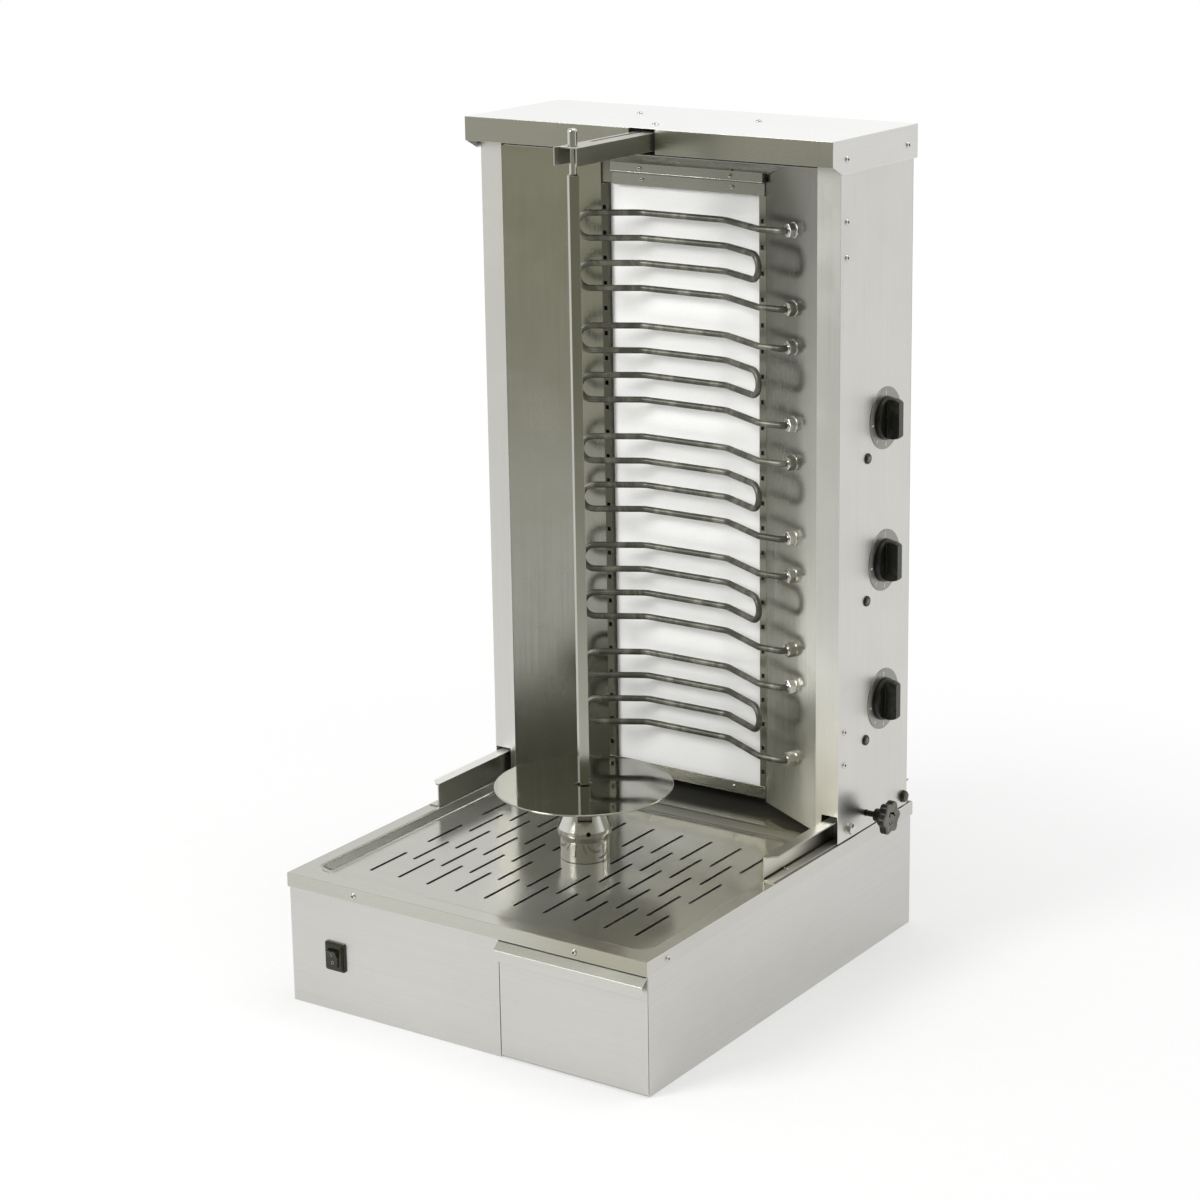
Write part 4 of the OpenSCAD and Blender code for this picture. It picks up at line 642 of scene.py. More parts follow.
def element_corners():
    """Corner points of one tube about its middle height, each with its bend radius."""
    out_right = WALL_ALONG * WING_LENGTH
    out_left = Vector((-out_right.x, out_right.y))
    heights = [(1.5 - run) * RUN_STEP for run in range(4)]
    tail, bend = LEAD_AT + WALL_INWARD * TUBE_TAIL, LEAD_AT - WALL_INWARD * LEAD_GAP
    corners = [(tail, heights[0], 0), (bend, heights[0], LEAD_BEND)]
    for run, z in enumerate(heights):
        ends = [(MIDDLE_RIGHT + out_right, RUN_STEP / 2), (MIDDLE_RIGHT, WIDE_BEND), (MIDDLE_LEFT, WIDE_BEND),
                (MIDDLE_LEFT + out_left, RUN_STEP / 2)]
        if run % 2:
            ends.reverse()
        if run in (0, 3):
            ends[run] = (ends[run][0], LEAD_BEND)
        corners += [(point, z, radius) for point, radius in ends]
    corners += [(bend, heights[3], LEAD_BEND), (tail, heights[3], 0)]
    return [(Vector((point.x, point.y, z)), radius) for point, z, radius in corners]


def rounded_path(corners, steps=7):
    """Points along a line whose corners are rounded by arcs."""
    points = []
    for i, (here, radius) in enumerate(corners):
        if radius == 0:
            points.append(here)
            continue
        back = (corners[i - 1][0] - here).normalized()
        on = (corners[(i + 1) % len(corners)][0] - here).normalized()
        turn = math.pi - back.angle(on)
        reach = radius * math.tan(turn / 2)
        centre = here + (back + on).normalized() * math.hypot(radius, reach)
        first = here + back * reach - centre
        axis = back.cross(on).normalized()
        points += [centre + Matrix.Rotation(-turn * k / steps, 3, axis) @ first for k in range(steps + 1)]
    return points


def tube_along(points):
    """A bmesh tube whose rings are carried along the points without twist."""
    bm = bmesh.new()
    ring = bmesh.ops.create_circle(bm, radius=TUBE_RADIUS, segments=TUBE_SIDES, cap_ends=True)["verts"]
    end = list(bm.faces)[0]
    heading = Vector((0, 0, 1))
    centre = Vector()
    for i, point in enumerate(points):
        ahead = (points[min(i + 1, len(points) - 1)] - points[max(i - 1, 0)]).normalized()
        turn = heading.rotation_difference(ahead).to_matrix()
        if i:
            made = bmesh.ops.extrude_face_region(bm, geom=[end])["geom"]
            if i > 1:
                bm.faces.remove(end)
            end = only(FACE, made)[0]
            ring = list(end.verts)
        for vert in ring:
            vert.co = point + turn @ (vert.co - centre)
        heading, centre = ahead, point
    return outward(bm)


ELEMENT_PATH = rounded_path(element_corners())
for i in range(ELEMENTS):
    middle = Vector((0, 0, TOP_ELEMENT_Z - i * ELEMENT_PITCH))
    tube = tube_along([middle + p for p in ELEMENT_PATH])
    new_piece(f"heating_tube_{i + 1}", tube, f"heating_element_{i + 1}", 60, weighted=False)

# Turned, cut and small pieces


def moved(x, y, z):
    return Matrix.Translation(Vector((x, y, z)) * MM)


def turned(degrees, axis):
    return Matrix.Rotation(math.radians(degrees), 4, axis)


def upright_to(heading):
    return Vector((0, 0, 1)).rotation_difference(heading).to_matrix().to_4x4()


def spun(corners, segments, ring=False, steps=3):
    """Turns a profile of (distance, height, rounding) in millimetres about Z."""
    path = rounded_path([(Vector((r, 0, z)) * MM, rounding * MM) for r, z, rounding in corners], steps)
    bm = bmesh.new()
    verts = [bm.verts.new(point) for point in path]
    pairs = list(zip(verts, verts[1:])) + ([(verts[-1], verts[0])] if ring else [])
    edges = [bm.edges.new(pair) for pair in pairs]
    bmesh.ops.spin(bm, geom=verts + edges, cent=(0, 0, 0), axis=(0, 0, 1), angle=2 * math.pi, steps=segments,
                   use_merge=True, use_duplicate=False)
    bmesh.ops.remove_doubles(bm, verts=bm.verts, dist=0.001 * MM)
    return outward(bm)


def raised(bm, height, taper=None):
    """Gives the flat faces of a bmesh a height in millimetres, and scales the upper outline."""
    top = only(VERT, bmesh.ops.extrude_face_region(bm, geom=list(bm.faces))["geom"])
    bmesh.ops.translate(bm, vec=(0, 0, height * MM), verts=top)
    if taper:
        bmesh.ops.scale(bm, vec=taper, verts=top)
    return outward(bm)


def round_outline(radius, segments):
    bm = bmesh.new()
    bmesh.ops.create_circle(bm, radius=radius * MM, segments=segments, cap_ends=True)
    return bm


def oblong(size_x, size_y):
    return [(x * size_x / 2, y * size_y / 2) for x, y in ((-1, -1), (1, -1), (1, 1), (-1, 1))]


def flat_face(corners):
    """A bmesh of one face through corners in millimetres."""
    bm = bmesh.new()
    bm.faces.new([bm.verts.new(Vector(corner) * MM) for corner in corners]).normal_update()
    return bm


def slab(size_x, size_y, height, corner=0.0, edge=0.0):
    """A block on the ground about the Z axis, its upright corners and its upper edge rounded."""
    bm = raised(flat_face([(x, y, 0) for x, y in oblong(size_x, size_y)]), height)
    if corner:
        soften(bm, corner, 4, shortest=0,
               chosen=lambda e: abs(e.verts[0].co.z - e.verts[1].co.z) > height * MM / 2)
    if edge:
        soften_over(bm, height * 0.9, edge, 2)
    return bm


def joined(parts):
    """Joins bmeshes, each given with its place."""
    whole = bmesh.new()
    for bm, place in parts:
        bm.transform(place)
        mesh = bpy.data.meshes.new("part")
        bm.to_mesh(mesh)
        bm.free()
        whole.from_mesh(mesh)
        bpy.data.meshes.remove(mesh)
    return whole


# Screws


def loose_parts(node):
    """The points of each separate solid in a CAD node."""
    bm = merged_copy(node)
    left = set(bm.verts)
    parts = []
    for first in bm.verts:
        if first not in left:
            continue
        left.remove(first)
        waiting, part = [first], [first]
        while waiting:
            vert = waiting.pop()
            for edge in vert.link_edges:
                other = edge.other_vert(vert)
                if other in left:
                    left.remove(other)
                    waiting.append(other)
                    part.append(other)
        parts.append([v.co.copy() for v in part])
    bm.free()
    return parts


def screw_places(node):
    """Each screw of a node: its head's foot, heading, head width, head height and whole length."""
    places = []
    for points in loose_parts(node):
        low = Vector([min(p[k] for p in points) for k in range(3)])
        high = Vector([max(p[k] for p in points) for k in range(3)])
        size, middle = high - low, (low + high) / 2
        axis = min(range(3), key=lambda k: abs(size[k - 1] - size[k - 2]))
        width = size[axis - 1]
        rim = [p[axis] for p in points
               if math.hypot(p[axis - 1] - middle[axis - 1], p[axis - 2] - middle[axis - 2]) > width * 0.48]
        forward = high[axis] - max(rim) < min(rim) - low[axis]
        foot = middle.copy()
        foot[axis] = min(rim) if forward else max(rim)
        heading = Vector((0, 0, 0))
        heading[axis] = 1 if forward else -1
        height = high[axis] - foot[axis] if forward else foot[axis] - low[axis]
        places.append((foot, heading, width / MM, height / MM, size[axis] / MM))
    return places


def socket_outline(kind, size):
    """The outline of a drive recess in a screw head."""
    if kind == "cross":
        a, b = size * 0.16, size * 0.5
        return [(b, -a), (a, -a), (a, -b), (-a, -b), (-a, -a), (-b, -a),
                (-b, a), (-a, a), (-a, b), (a, b), (a, a), (b, a)]
    return [(size / 2 * math.cos(k * math.pi / 3), size / 2 * math.sin(k * math.pi / 3)) for k in range(6)]


def fill_round(bm, outer, points):
    """Fills the flat ring between a loop of edges and an opening's corners, and returns the opening's edges."""
    corners = [bm.verts.new(point) for point in points]
    inner = [bm.edges.new((corners[k - 1], corners[k])) for k in range(len(corners))]
    bmesh.ops.triangle_fill(bm, use_beauty=True, edges=outer + inner)
    for face in [f for f in bm.faces if all(v in corners for v in f.verts)]:
        bm.faces.remove(face)
    return inner


def screw_head(width, height, kind="cross", drive=0.52, depth=0.6):
    """A domed head with its drive recess, foot at zero, looking along Z."""
    bm = spun([(0, 0, 0), (width / 2, 0, 0), (width / 2, height * 0.32, width * 0.03),
               (width * 0.42, height * 0.8, width * 0.06), (width * 0.31, height, 0)], 28)
    brim = [e for e in bm.edges if e.is_boundary]
    corners = [Vector((x, y, height)) * MM for x, y in socket_outline(kind, width * drive)]
    inner = fill_round(bm, brim, corners)
    walls = bmesh.ops.extrude_edge_only(bm, edges=[e for e in inner if e.is_valid])["geom"]
    low = only(VERT, walls)
    bmesh.ops.translate(bm, vec=(0, 0, -height * depth * MM), verts=low)
    bmesh.ops.scale(bm, vec=(0.7, 0.7, 1), verts=low)
    bmesh.ops.contextual_create(bm, geom=[e for e in only(EDGE, walls) if all(v in low for v in e.verts)])
    outward(bm)
    # The drive recess takes black steel as painted shade
    for face in bm.faces:
        if any(v in low for v in face.verts):
            face.material_index = 1
    return bm


# How far each screw is turned on from the one before, and how far the first is turned
SCREW_TURN, FIRST_TURN = 37, 12
# A shank's radius against its head's width
SHANK_SHARE = 0.26


def dress_screws(name, node, wider=1.0, **drive):
    parts = []
    for i, (foot, heading, width, height, length) in enumerate(screw_places(node)):
        place = Matrix.Translation(foot) @ upright_to(heading) @ turned(SCREW_TURN * i + FIRST_TURN, "Z")
        radius, end = width * SHANK_SHARE, height - length
        shank = spun([(0, end, 0), (radius, end, width * 0.05), (radius, -0.02, 0), (0, -0.02, 0)], 16)
        parts += [(screw_head(width * wider, height, **drive), place), (shank, place)]
    new_piece(name, joined(parts), node, weighted=False, second="black_steel_and_painted_shade")


dress_screws("cover_screw_set", "cover_screws")
dress_screws("tower_screw_set", "tower_screws", wider=1.22)
dress_screws("rail_screw_set", "rail_screws")
dress_screws("arm_guide_screw", "arm_screw")
dress_screws("trim_screw_set", "trim_screws", kind="hex", drive=0.5, depth=0.8)

# Upper trim

# How thick the plates beside the trim are
PLATE = 0.6
# The lower band's height, and how far its face stands in front of the upper band's
BAND_HEIGHT = 18
BAND_STEP = 6
# How far the plate at the back reaches left of the trim
SHADE_REACH = 22
# How far the sloping plate reaches right of the trim, at its back and at its front
SLOPE_BACK, SLOPE_FRONT = 7, 53


def plate(corners):
    """A flat plate from its four corners."""
    bm = flat_face(corners)
    faces = list(bm.faces)
    away = faces[0].normal * PLATE * MM
    made = bmesh.ops.extrude_face_region(bm, geom=faces)["geom"]
    bmesh.ops.translate(bm, vec=away, verts=only(VERT, made))
    return outward(bm)


def dress_top_trim():
    """The hem of the upper band in bright steel as a painted highlight, a dark strip below it as a painted
    shadow in the seam, and the plates that close it to the walls, the one at the back dark as painted shade.
    """
    low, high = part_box("top_trim")
    left, front, foot = [part / MM for part in low]
    right, back, top = [part / MM for part in high]
    ledge, band, middle = foot + BAND_HEIGHT, back - BAND_STEP, (left + right) / 2
    # The hem takes the bright screw steel as a painted highlight
    hem = slab(right - left - 1, 0.9, 1.1, 0, 0.25)
    hem.transform(moved(middle, band - 0.35, ledge))
    extra_piece("trim_hem", hem, "bright_screw", "top_trim")
    # A dark strip under the hem as a painted shadow in the seam, and a dark plate at the back as painted shade
    seam = slab(right - left - 1, 0.5, 2.2)
    outer, inner, behind = left - SHADE_REACH, left + 1, back + 3
    shade = plate([(outer, behind, foot + 1), (inner, behind, foot + 1), (inner, behind, top - 1),
                   (outer, behind, top - 1)])
    extra_piece("trim_painted_shade", joined([(seam, moved(middle, band + 4.8, ledge - 2.4)),
                                      (shade, Matrix())]), "painted_shade_steel", "top_trim")
    slope = plate([(right - 0.4, back - 5.2, top - 20), (right + SLOPE_BACK, back - 5.2, top - 20),
                   (right + SLOPE_FRONT, front + 0.4, top - 0.6), (right - 0.4, front + 0.4, top - 0.6)])
    extra_piece("trim_corner", slope, "trim_sheet", "top_trim")


dress_top_trim()

# Deck cover

RECESS_DEPTH = 10 * MM
RECESS_ROUNDING = 2.6
RIM_ROUNDING = 1.1


def make_deck():
    """The deck cover, the folds of its recess and rim softly rounded."""
    bm = merged_copy("deck_cover")
    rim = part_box("deck_cover")[1][2]

    def fold_at(height, least, most):
        def chosen(edge):
            level = all(abs(v.co.z - height) < 0.05 * MM for v in edge.verts)
            return level and least < math.degrees(edge.calc_face_angle(0)) < most
        return chosen
    for height in (rim, rim - RECESS_DEPTH):
        soften(bm, RECESS_ROUNDING, 4, fold=20, shortest=0, chosen=fold_at(height, 30, 60))
    soften(bm, RIM_ROUNDING, 3, fold=20, chosen=fold_at(rim, 70, 110), shortest=60)
    deck = new_piece("deck_cover_sheet", bm, "deck_cover", 30)
    add_finish(deck, "deck_end_sheet", looks_sideways)


make_deck()

# Spit, hub and pin

AXIS = moved(0, -56, 0)
DISC_RADIUS = 117
DISC_HOLE = 10.8
DISC_TOP = 265
DISC_FOOT = DISC_TOP - 2.5
BAR_TOP = 1061
ARM_TOP = 1095
# The hub's radius at its screw, and how far round the hole its edges stay sharp
HUB_RADIUS = 35.3 * MM
HOLE_CLEAR = 5 * MM
DISC = [(DISC_HOLE, DISC_FOOT, 0.3), (DISC_RADIUS, DISC_FOOT, 0.9), (DISC_RADIUS, DISC_TOP, 0.9),
        (DISC_HOLE, DISC_TOP, 0.4)]
PIN = [(0, BAR_TOP - 12, 0), (3, BAR_TOP - 12, 0.5), (4.5, BAR_TOP - 9.5, 0.6), (4.5, ARM_TOP + 0.05, 0),
       (6.25, ARM_TOP + 0.05, 0.4), (6.25, ARM_TOP + 22, 3.6), (0, ARM_TOP + 22, 0)]


def on_axis(name, bm, node):
    bm.transform(AXIS)
    new_piece(name, bm, node)


def make_spit():
    bm = merged_copy("spit")
    top = max(v.co.z for v in bm.verts)
    soften(bm, 2.6, 1, shortest=8, chosen=lambda e: all(v.co.z > top - 0.1 * MM for v in e.verts))
    soften(bm, 0.7, 3, shortest=8, fold=60)
    new_piece("square_spit", bm, "spit")


def make_hub():
    bm = merged_copy("hub")
    screw = sum((Vector(corner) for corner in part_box("hub_screw")), Vector()) / 2
    axis = Vector((0, AXIS.translation.y, screw.z))
    hole = axis + (screw - axis).normalized() * HUB_RADIUS
    soften(bm, 0.45, 2, fold=14, shortest=0.8,
           chosen=lambda e: all((v.co - hole).length > HOLE_CLEAR for v in e.verts))
    new_piece("turned_hub", bm, "hub", 14)


on_axis("mirror_disc", spun(DISC, 128, ring=True), "meat_disc")
make_spit()
make_hub()
on_axis("locating_pin", spun(PIN, 40, steps=5), "top_pin")

# Gland nuts that hold the heating tubes

NUT_RADIUS = 9.75
GLAND_HOLE = 4.35
WASHER_RADIUS, COLLAR_RADIUS, COLLAR_LENGTH = 10.6, 5.9, 2
BACK_NUT_BEHIND = 3
# How far round each nut is turned, by its element's number and by its side
NUT_TURNS = (17, 11)


def make_glands():
    face = upright_to(Vector((-WALL_INWARD.x, -WALL_INWARD.y, 0)))
    parts = []
    for i in range(ELEMENTS):
        for side in (-1, 1):
            z = TOP_ELEMENT_Z - i * ELEMENT_PITCH + side * 1.5 * RUN_STEP
            turn = turned(NUT_TURNS[0] * i + NUT_TURNS[1] * side, "Z")
            place = Matrix.Translation((LEAD_AT.x, LEAD_AT.y, z)) @ face @ turn
            washer = spun([(GLAND_HOLE, 0, 0), (WASHER_RADIUS, 0, 0.2), (WASHER_RADIUS, 1, 0.4),
                           (GLAND_HOLE, 1, 0)], 32, ring=True)
            nut = raised(round_outline(NUT_RADIUS, 6), NUT_LENGTH - 0.4)
            soften_over(nut, 5, 1.1, 3)
            end = NUT_LENGTH + COLLAR_LENGTH
            collar = spun([(GLAND_HOLE, NUT_LENGTH, 0), (COLLAR_RADIUS, NUT_LENGTH, 0.3),
                           (COLLAR_RADIUS, end, 0.6), (GLAND_HOLE, end, 0.3)], 28, ring=True)
            back = raised(round_outline(NUT_RADIUS, 6), NUT_LENGTH / 2)
            parts += [(washer, place), (nut, place @ moved(0, 0, 1)), (collar, place),
                      (back, place @ moved(0, 0, -BACK_NUT_BEHIND - NUT_LENGTH / 2))]
    new_piece("gland_nuts", joined(parts), "element_glands", 28, weighted=False)


make_glands()

# Controls on the right side

SIDE_FACE = 276.5
CONTROLS = 3
KNOB_Y = 243
KNOB_LOW_Z = 346
KNOB_PITCH = 190.5
KNOB_RADIUS = 27
GRIP_HALF_WIDTH = 7.5 * MM
# How much each step over the grip's top rises, and its share of the width and the length below
GRIP_STEPS = ((4.5, 0.93, 0.965), (2.8, 0.94, 0.95), (1.7, 0.95, 0.93))
KNOB_SKIRT = [(3.1, 0, 0), (28.5, 0, 0.4), (28.5, 3.2, 1.0), (26.6, 5.6, 1.0), (3.1, 6.4, 0)]
DIAL = [(5.6, 0, 0), (41, 0, 0.2), (41, 1.2, 0.5), (5.6, 1.2, 0)]
DIAL_TOP = 1.2
# Each mark's angle from the top towards the front, its length and its width
DIAL_MARKS = ((0, 7.5, 1.8), (97, 6, 5.5), (140, 4, 1.6), (180, 6.5, 2), (-140, 4, 1.6), (-97, 4, 1.6))
MARK_REACH = 37.4
LAMP_Y = 197
LAMP_DROP = 45
LAMP_BEZEL = [(4.9, 0.2, 0), (7, 0.2, 0), (7, 1.6, 0.5), (5.6, 2.9, 0.5), (4.9, 2.4, 0.2)]
LAMP_LENS = [(0, -20, 0), (4.8, -20, 0), (4.8, 2.0, 0.6), (3.2, 3.2, 1.4), (0, 3.45, 0)]


def on_side(y, z, out=0.0):
    """A place on the tower's right face that looks along X."""
    return moved(SIDE_FACE + out, y, z) @ turned(90, "Y")


def make_knob(number):
    """A round skirt with a tapering grip across it."""
    grip = round_outline(KNOB_RADIUS, 72)
    for vert in grip.verts:
        vert.co.y = max(-GRIP_HALF_WIDTH, min(GRIP_HALF_WIDTH, vert.co.y))
    raised(grip, 10, (1, 0.9, 1))
    front = max(grip.faces, key=lambda f: centre_of(f).z)
    for lift, narrower, shorter in GRIP_STEPS:
        bmesh.ops.inset_region(grip, faces=[front], thickness=0.0001 * MM, use_even_offset=False)
        for vert in front.verts:
            vert.co = Vector((vert.co.x * shorter, vert.co.y * narrower, vert.co.z + lift * MM))
    soften_over(grip, 18, 1.3, 3, fold=40)
    # The grip's outward faces take a lighter black as a painted sheen
    second_finish(grip, lambda f: f.normal.z > 0.35)
    bm = joined([(spun(KNOB_SKIRT, 64, ring=True), Matrix()), (grip, moved(0, 0, 3))])
    bm.transform(on_side(KNOB_Y, KNOB_LOW_Z + number * KNOB_PITCH, 1.5))
    new_piece(f"heat_knob_{number + 1}", bm, f"control_knob_{number + 1}", 35, second="knob_painted_sheen")


def make_dials():
    plates, marks, bezels, lenses = [], [], [], []
    for number in range(CONTROLS):
        z = KNOB_LOW_Z + number * KNOB_PITCH
        place = on_side(KNOB_Y, z)
        plates.append((spun(DIAL, 72, ring=True), place))
        for angle, length, width in DIAL_MARKS:
            spot = turned(180 - angle, "Z") @ moved(MARK_REACH - length / 2, 0, DIAL_TOP)
            marks.append((slab(length, width, 0.12, 0.4), place @ spot))
        lamp = on_side(LAMP_Y, z - LAMP_DROP)
        bezels.append((spun(LAMP_BEZEL, 36, ring=True), lamp))
        lenses.append((spun(LAMP_LENS, 32), lamp))
    new_piece("dial_discs", joined(plates), "dial_plates")
    extra_piece("dial_marks", joined(marks), "dial_mark", "dial_plates")
    extra_piece("lamp_bezels", joined(bezels), "black_gloss", "pilot_lamps")
    new_piece("lamp_lenses", joined(lenses), "pilot_lamps")


for number in range(CONTROLS):
    make_knob(number)
make_dials()

# The clamp's place back along the side, its height and how far out it stands
CLAMP_AT = (200, 198.7, 24)
STAR_RADIUS = 20.8
LOBES, LOBE_DEPTH = 6, 2.1
STAR_FOOT, STAR_HEIGHT = 4.5, 11.5
# How far in each step of the dished face begins, and how far it drops
STAR_DISH = ((1.8, 0), (2.6, -0.7), (3.6, -0.4))
STAR_CAP = [(0, 10, 0), (5.2, 10, 0), (5.2, 15.1, 0.3), (0, 15.2, 0)]
STAR_HUB = [(0, -9.6, 0), (8.6, -9.6, 0.8), (9.2, -4, 1.2), (9.2, 5, 0), (0, 5, 0)]
STAR_STEM = [(0, -42, 0), (4, -42, 0.4), (4, -9, 0), (0, -9, 0)]


def make_star_knob():
    """The tower's clamp: six lobes, a dished face and a hub on a threaded stem."""
    star = round_outline(STAR_RADIUS, 96)
    for vert in star.verts:
        angle = math.atan2(vert.co.y, vert.co.x)
        reach = STAR_RADIUS - LOBE_DEPTH * math.cos(LOBES * angle)
        vert.co.xy = Vector((math.cos(angle), math.sin(angle))) * reach * MM
    raised(star, STAR_HEIGHT)
    star.transform(moved(0, 0, STAR_FOOT))
    soften_over(star, 15, 2.4, 4, fold=60)
    soften(star, 1.6, 3, fold=60, shortest=0, chosen=lambda e: max(v.co.z for v in e.verts) < 5 * MM)
    face = max(star.faces, key=lambda f: centre_of(f).z + f.calc_area())
    for width, drop in STAR_DISH:
        bmesh.ops.inset_region(star, faces=[face], thickness=width * MM, use_even_offset=False)
        bmesh.ops.translate(star, vec=(0, 0, drop * MM), verts=list(face.verts))
    cap = spun(STAR_CAP, 32)
    # The outward faces take a lighter black as painted light
    for part in (star, cap):
        second_finish(part, lambda f: f.normal.z > 0.5)
    place = on_side(*CLAMP_AT)
    new_piece("star_knob", joined([(star, place), (cap, place), (spun(STAR_HUB, 40), place)]), "clamp_knob", 38,
              second="knob_face_painted_light")
    # The stem takes black steel as painted shade
    stem = spun(STAR_STEM, 24)
    stem.transform(place)
    extra_piece("star_knob_stem", stem, "black_steel_and_painted_shade", "clamp_knob")


make_star_knob()

BOLT_YS = (155, 301)
BOLT_Z = 190.85
BOLT_HEAD_RADIUS, BOLT_HEAD_HEIGHT = 7.5, 4.9
BOLT_WASHER = [(3.6, 0, 0), (8.6, 0, 0.2), (8.6, 0.9, 0.3), (3.6, 0.9, 0)]
BOLT_SHANK = [(0, -11.5, 0), (3.9, -11.5, 0.5), (3.9, 0.4, 0), (0, 0.4, 0)]


def make_guide_bolts():
    """Hexagon bolts with washers, the rear pair dark."""
    parts = []
    for hand in (-1, 1):
        for y in BOLT_YS:
            place = moved(hand * SIDE_FACE, y, BOLT_Z) @ turned(hand * 90, "Y") @ turned(9 * y, "Z")
            head = raised(round_outline(BOLT_HEAD_RADIUS, 6), BOLT_HEAD_HEIGHT)
            soften_over(head, 4, 0.7, 3)
            washer, shank = spun(BOLT_WASHER, 32, ring=True), spun(BOLT_SHANK, 20)
            for part in (head, washer, shank):
                second_finish(part, lambda f: y == BOLT_YS[1])
            parts += [(head, place @ moved(0, 0, 0.9)), (washer, place), (shank, place)]
    new_piece("guide_bolt_set", joined(parts), "guide_bolts", 28, weighted=False, second="dark_bolt")


make_guide_bolts()

# Rocker switch

PANEL_TO_FRAME = 6
# Each step of the frame: how much smaller than the whole, its height and its corners
FRAME_STEPS = ((0, 2.6, 3), (4, 4.4, 2.4), (7, 5.9, 2))
# The well's share of the frame's width and height, what is then taken off, and its depth below the panel
WELL_SHARES, WELL_LESS, WELL_DEPTH = (0.72, 0.8), 7, 6.3
# The well's walls, and for those over and beside it how far out their middle lies and how thick they are
WELL_WALL = 3.4
WALL_OVER, WALL_BESIDE = (1.76, 3.46), (1.74, 3.42)
ON_MARK = (0.7, 5.4, 0.12)
OFF_MARK = [(1.6, 0, 0), (2.2, 0, 0), (2.2, 0.12, 0), (1.6, 0.12, 0)]


def pierced(bm, size_x, size_y):
    """Cuts an oblong hole up through the first and last face of a block."""
    cut_across(bm, (0, 0, 0), (0, 0, 1))
    faces = [pick(bm.faces, key=lambda f: centre_of(f).z) for pick in (max, min)]
    loops = []
    for face in faces:
        corners = [(x * MM, y * MM, centre_of(face).z) for x, y in oblong(size_x, size_y)]
        outer = list(face.edges)
        bm.faces.remove(face)
        loops += fill_round(bm, outer, corners)
    bmesh.ops.bridge_loops(bm, edges=loops)
    return outward(bm)


def make_switch():
    """A stepped frame round a well, and the rocker with its marks."""
    low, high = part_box("switch_housing")
    wide, tall = (high[0] - low[0]) / MM, (high[2] - low[2]) / MM
    depth = (high[1] - low[1]) / MM - PANEL_TO_FRAME
    front = Vector(((low[0] + high[0]) / 2, low[1] + PANEL_TO_FRAME * MM, (low[2] + high[2]) / 2))
    place = Matrix.Translation(front) @ turned(90, "X")
    well_x, well_y = [size * share - WELL_LESS for size, share in zip((wide, tall), WELL_SHARES)]
    parts = []
    for k, (less, height, corner) in enumerate(FRAME_STEPS):
        # Each step's well is a hair wider, so that no two walls share a place
        step = slab(wide - less, tall - less, height, corner, 0.5)
        parts.append((pierced(step, well_x + 0.1 * k, well_y + 0.1 * k), place))
    for side in (1, -1):
        for x, y, size_x, size_y in (
                (0, well_y / 2 + WALL_OVER[0], well_x + 2 * WELL_WALL, WALL_OVER[1]),
                (well_x / 2 + WALL_BESIDE[0], 0, WALL_BESIDE[1], well_y + 0.3)):
            parts.append((slab(size_x, size_y, depth), place @ moved(side * x, side * y, -depth)))
    parts.append((slab(well_x + 0.2, well_y + 0.2, depth - WELL_DEPTH), place @ moved(0, 0, 0.1 - depth)))
    new_piece("switch_frame", joined(parts), "switch_housing", finish="black_gloss")
    rocker = merged_copy("switch_rocker")
    soften(rocker, 0.7, 3, shortest=2)
    faces = sorted((f for f in rocker.faces if f.normal.y < -0.6 and f.calc_area() > 60 * MM * MM),
                   key=lambda f: centre_of(f).z)
    marks = [(mark, Matrix.Translation(centre_of(face) - face.normal * 0.04 * MM) @ upright_to(face.normal))
             for face, mark in ((faces[0], spun(OFF_MARK, 32, ring=True)), (faces[-1], slab(*ON_MARK)))]
    extra_piece("switch_marks", joined(marks), "switch_mark", "switch_rocker")
    new_piece("switch_rocker_key", rocker, "switch_rocker")


make_switch()

# Floor, backdrop and lights

# Which way the unlit side of the studio lies, and what metal sees there and overhead
DARK_SIDE = (0.55, -0.83, 0.05)
STUDIO_DARK = (0.30, 0.30, 0.235, 1)
STUDIO_TOP = (0.6, 0.6, 0.57, 1)
WHITE = (1, 1, 1, 1)
FLOOR_DROP = 0.0004


def studio_reflection(tree, direction):
    """What metal sees of the studio: white round the back and left, and the unlit side in front."""
    side = vector_maths(tree, "DOT_PRODUCT", {0: direction, 1: DARK_SIDE})["Value"]
    return tinted(tree, WHITE, STUDIO_DARK, side, 0.05, 0.75)


def seen_directly(tree, rays):
    """One for rays from the camera, off metal and through glass, else nought."""
    metal_or_glass = maths(tree, "MAXIMUM", rays["Is Glossy Ray"], rays["Is Transmission Ray"])
    return maths(tree, "MAXIMUM", rays["Is Camera Ray"], metal_or_glass)


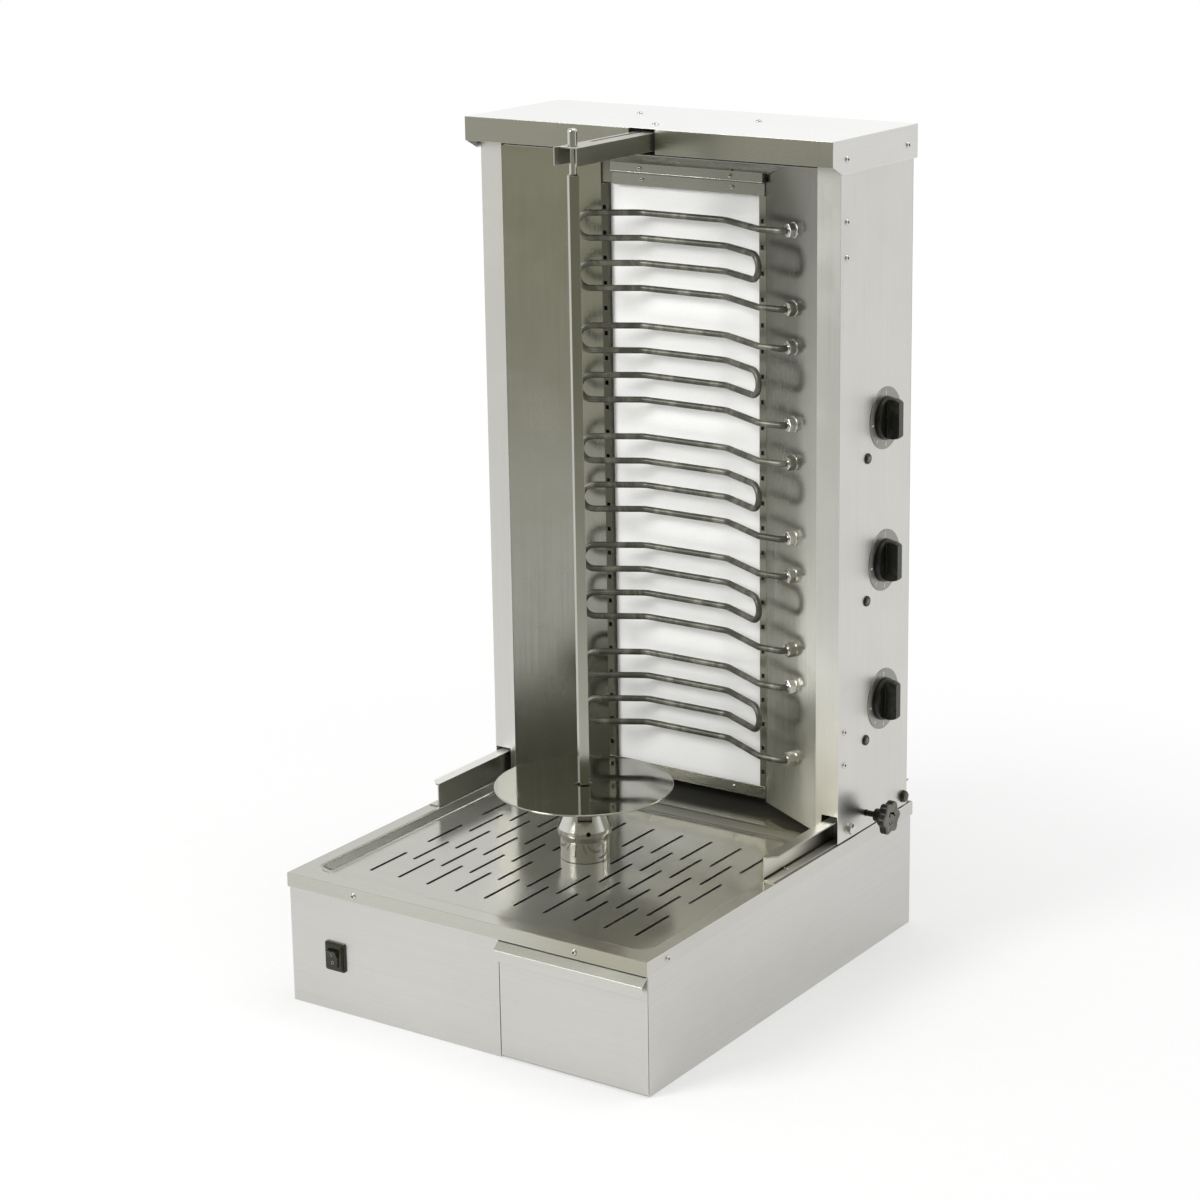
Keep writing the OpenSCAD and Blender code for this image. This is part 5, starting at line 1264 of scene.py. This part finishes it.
def make_floor():
    """White paper that takes a soft shadow near the grill and fades into the backdrop."""
    bm = bmesh.new()
    bmesh.ops.create_grid(bm, x_segments=1, y_segments=1, size=14)
    floor = make_object("floor", bm, [])
    floor.location.z = -FLOOR_DROP
    material, tree, shader, place = new_finish("floor_paint", 0.1)
    fine = noise(tree, place, 40, 3, 0.5)
    put(tree, shader.inputs["Base Color"], blend_colours(tree, fine, tone(236, 236, 235), tone(240, 240, 239)))
    shader.inputs["Roughness"].default_value = 0.9
    rays = add(tree, "ShaderNodeLightPath").outputs
    far = vector_maths(tree, "LENGTH", {0: place})["Value"]
    heading = vector_maths(tree, "NORMALIZE", {0: place})["Vector"]
    seen_by_metal = tinted(tree, WHITE, studio_reflection(tree, heading), far, 0.7, 3.5)
    glow = add(tree, "ShaderNodeEmission", {
        "Color": blend_colours(tree, rays["Is Glossy Ray"], WHITE, seen_by_metal), "Strength": 1})
    open_floor = between(tree, far, 0.35, 1.5, 0.45, 1, smooth=True)
    share = maths(tree, "MULTIPLY", seen_directly(tree, rays), open_floor)
    blend = add(tree, "ShaderNodeMixShader", {0: share, 1: shader.outputs[0], 2: glow.outputs[0]})
    put(tree, tree.nodes["Material Output"].inputs["Surface"], blend.outputs[0])
    floor.data.materials.append(material)


def make_sky():
    """White all round for the camera, with an unlit side and a duller top for metal."""
    world = bpy.data.worlds.new("studio")
    world.use_nodes = True
    tree = world.node_tree
    back = tree.nodes["Background"]
    rays = add(tree, "ShaderNodeLightPath").outputs
    direction = add(tree, "ShaderNodeTexCoord").outputs["Generated"]
    height = part_of(tree, direction, "Z")
    around = tinted(tree, studio_reflection(tree, direction), STUDIO_TOP, height, 0.35, 0.8)
    put(tree, back.inputs["Color"], blend_colours(tree, rays["Is Glossy Ray"], WHITE, around))
    put(tree, back.inputs["Strength"], between(tree, seen_directly(tree, rays), 0, 1, 0.6, 1))
    bpy.context.scene.world = world


def soft_lamp(name, at, aim, size, watts):
    """A square lamp at a place, aimed at a point."""
    data = bpy.data.lights.new(name, "AREA")
    data.shape = "RECTANGLE"
    data.size = data.size_y = size
    data.energy = watts
    lamp = bpy.data.objects.new(name, data)
    lamp.location = at
    lamp.rotation_euler = (Vector(aim) - Vector(at)).to_track_quat("-Z", "Y").to_euler()
    bpy.context.scene.collection.objects.link(lamp)


make_floor()
make_sky()
soft_lamp("key_softbox", (-1.6, -3.4, 2.9), (0, 0.1, 0.6), 1.8, 125)
soft_lamp("top_softbox", (0.6, 0.8, 4.2), (0, 0, 0.4), 2.6, 60)
bpy.context.scene.view_settings.view_transform = "Standard"
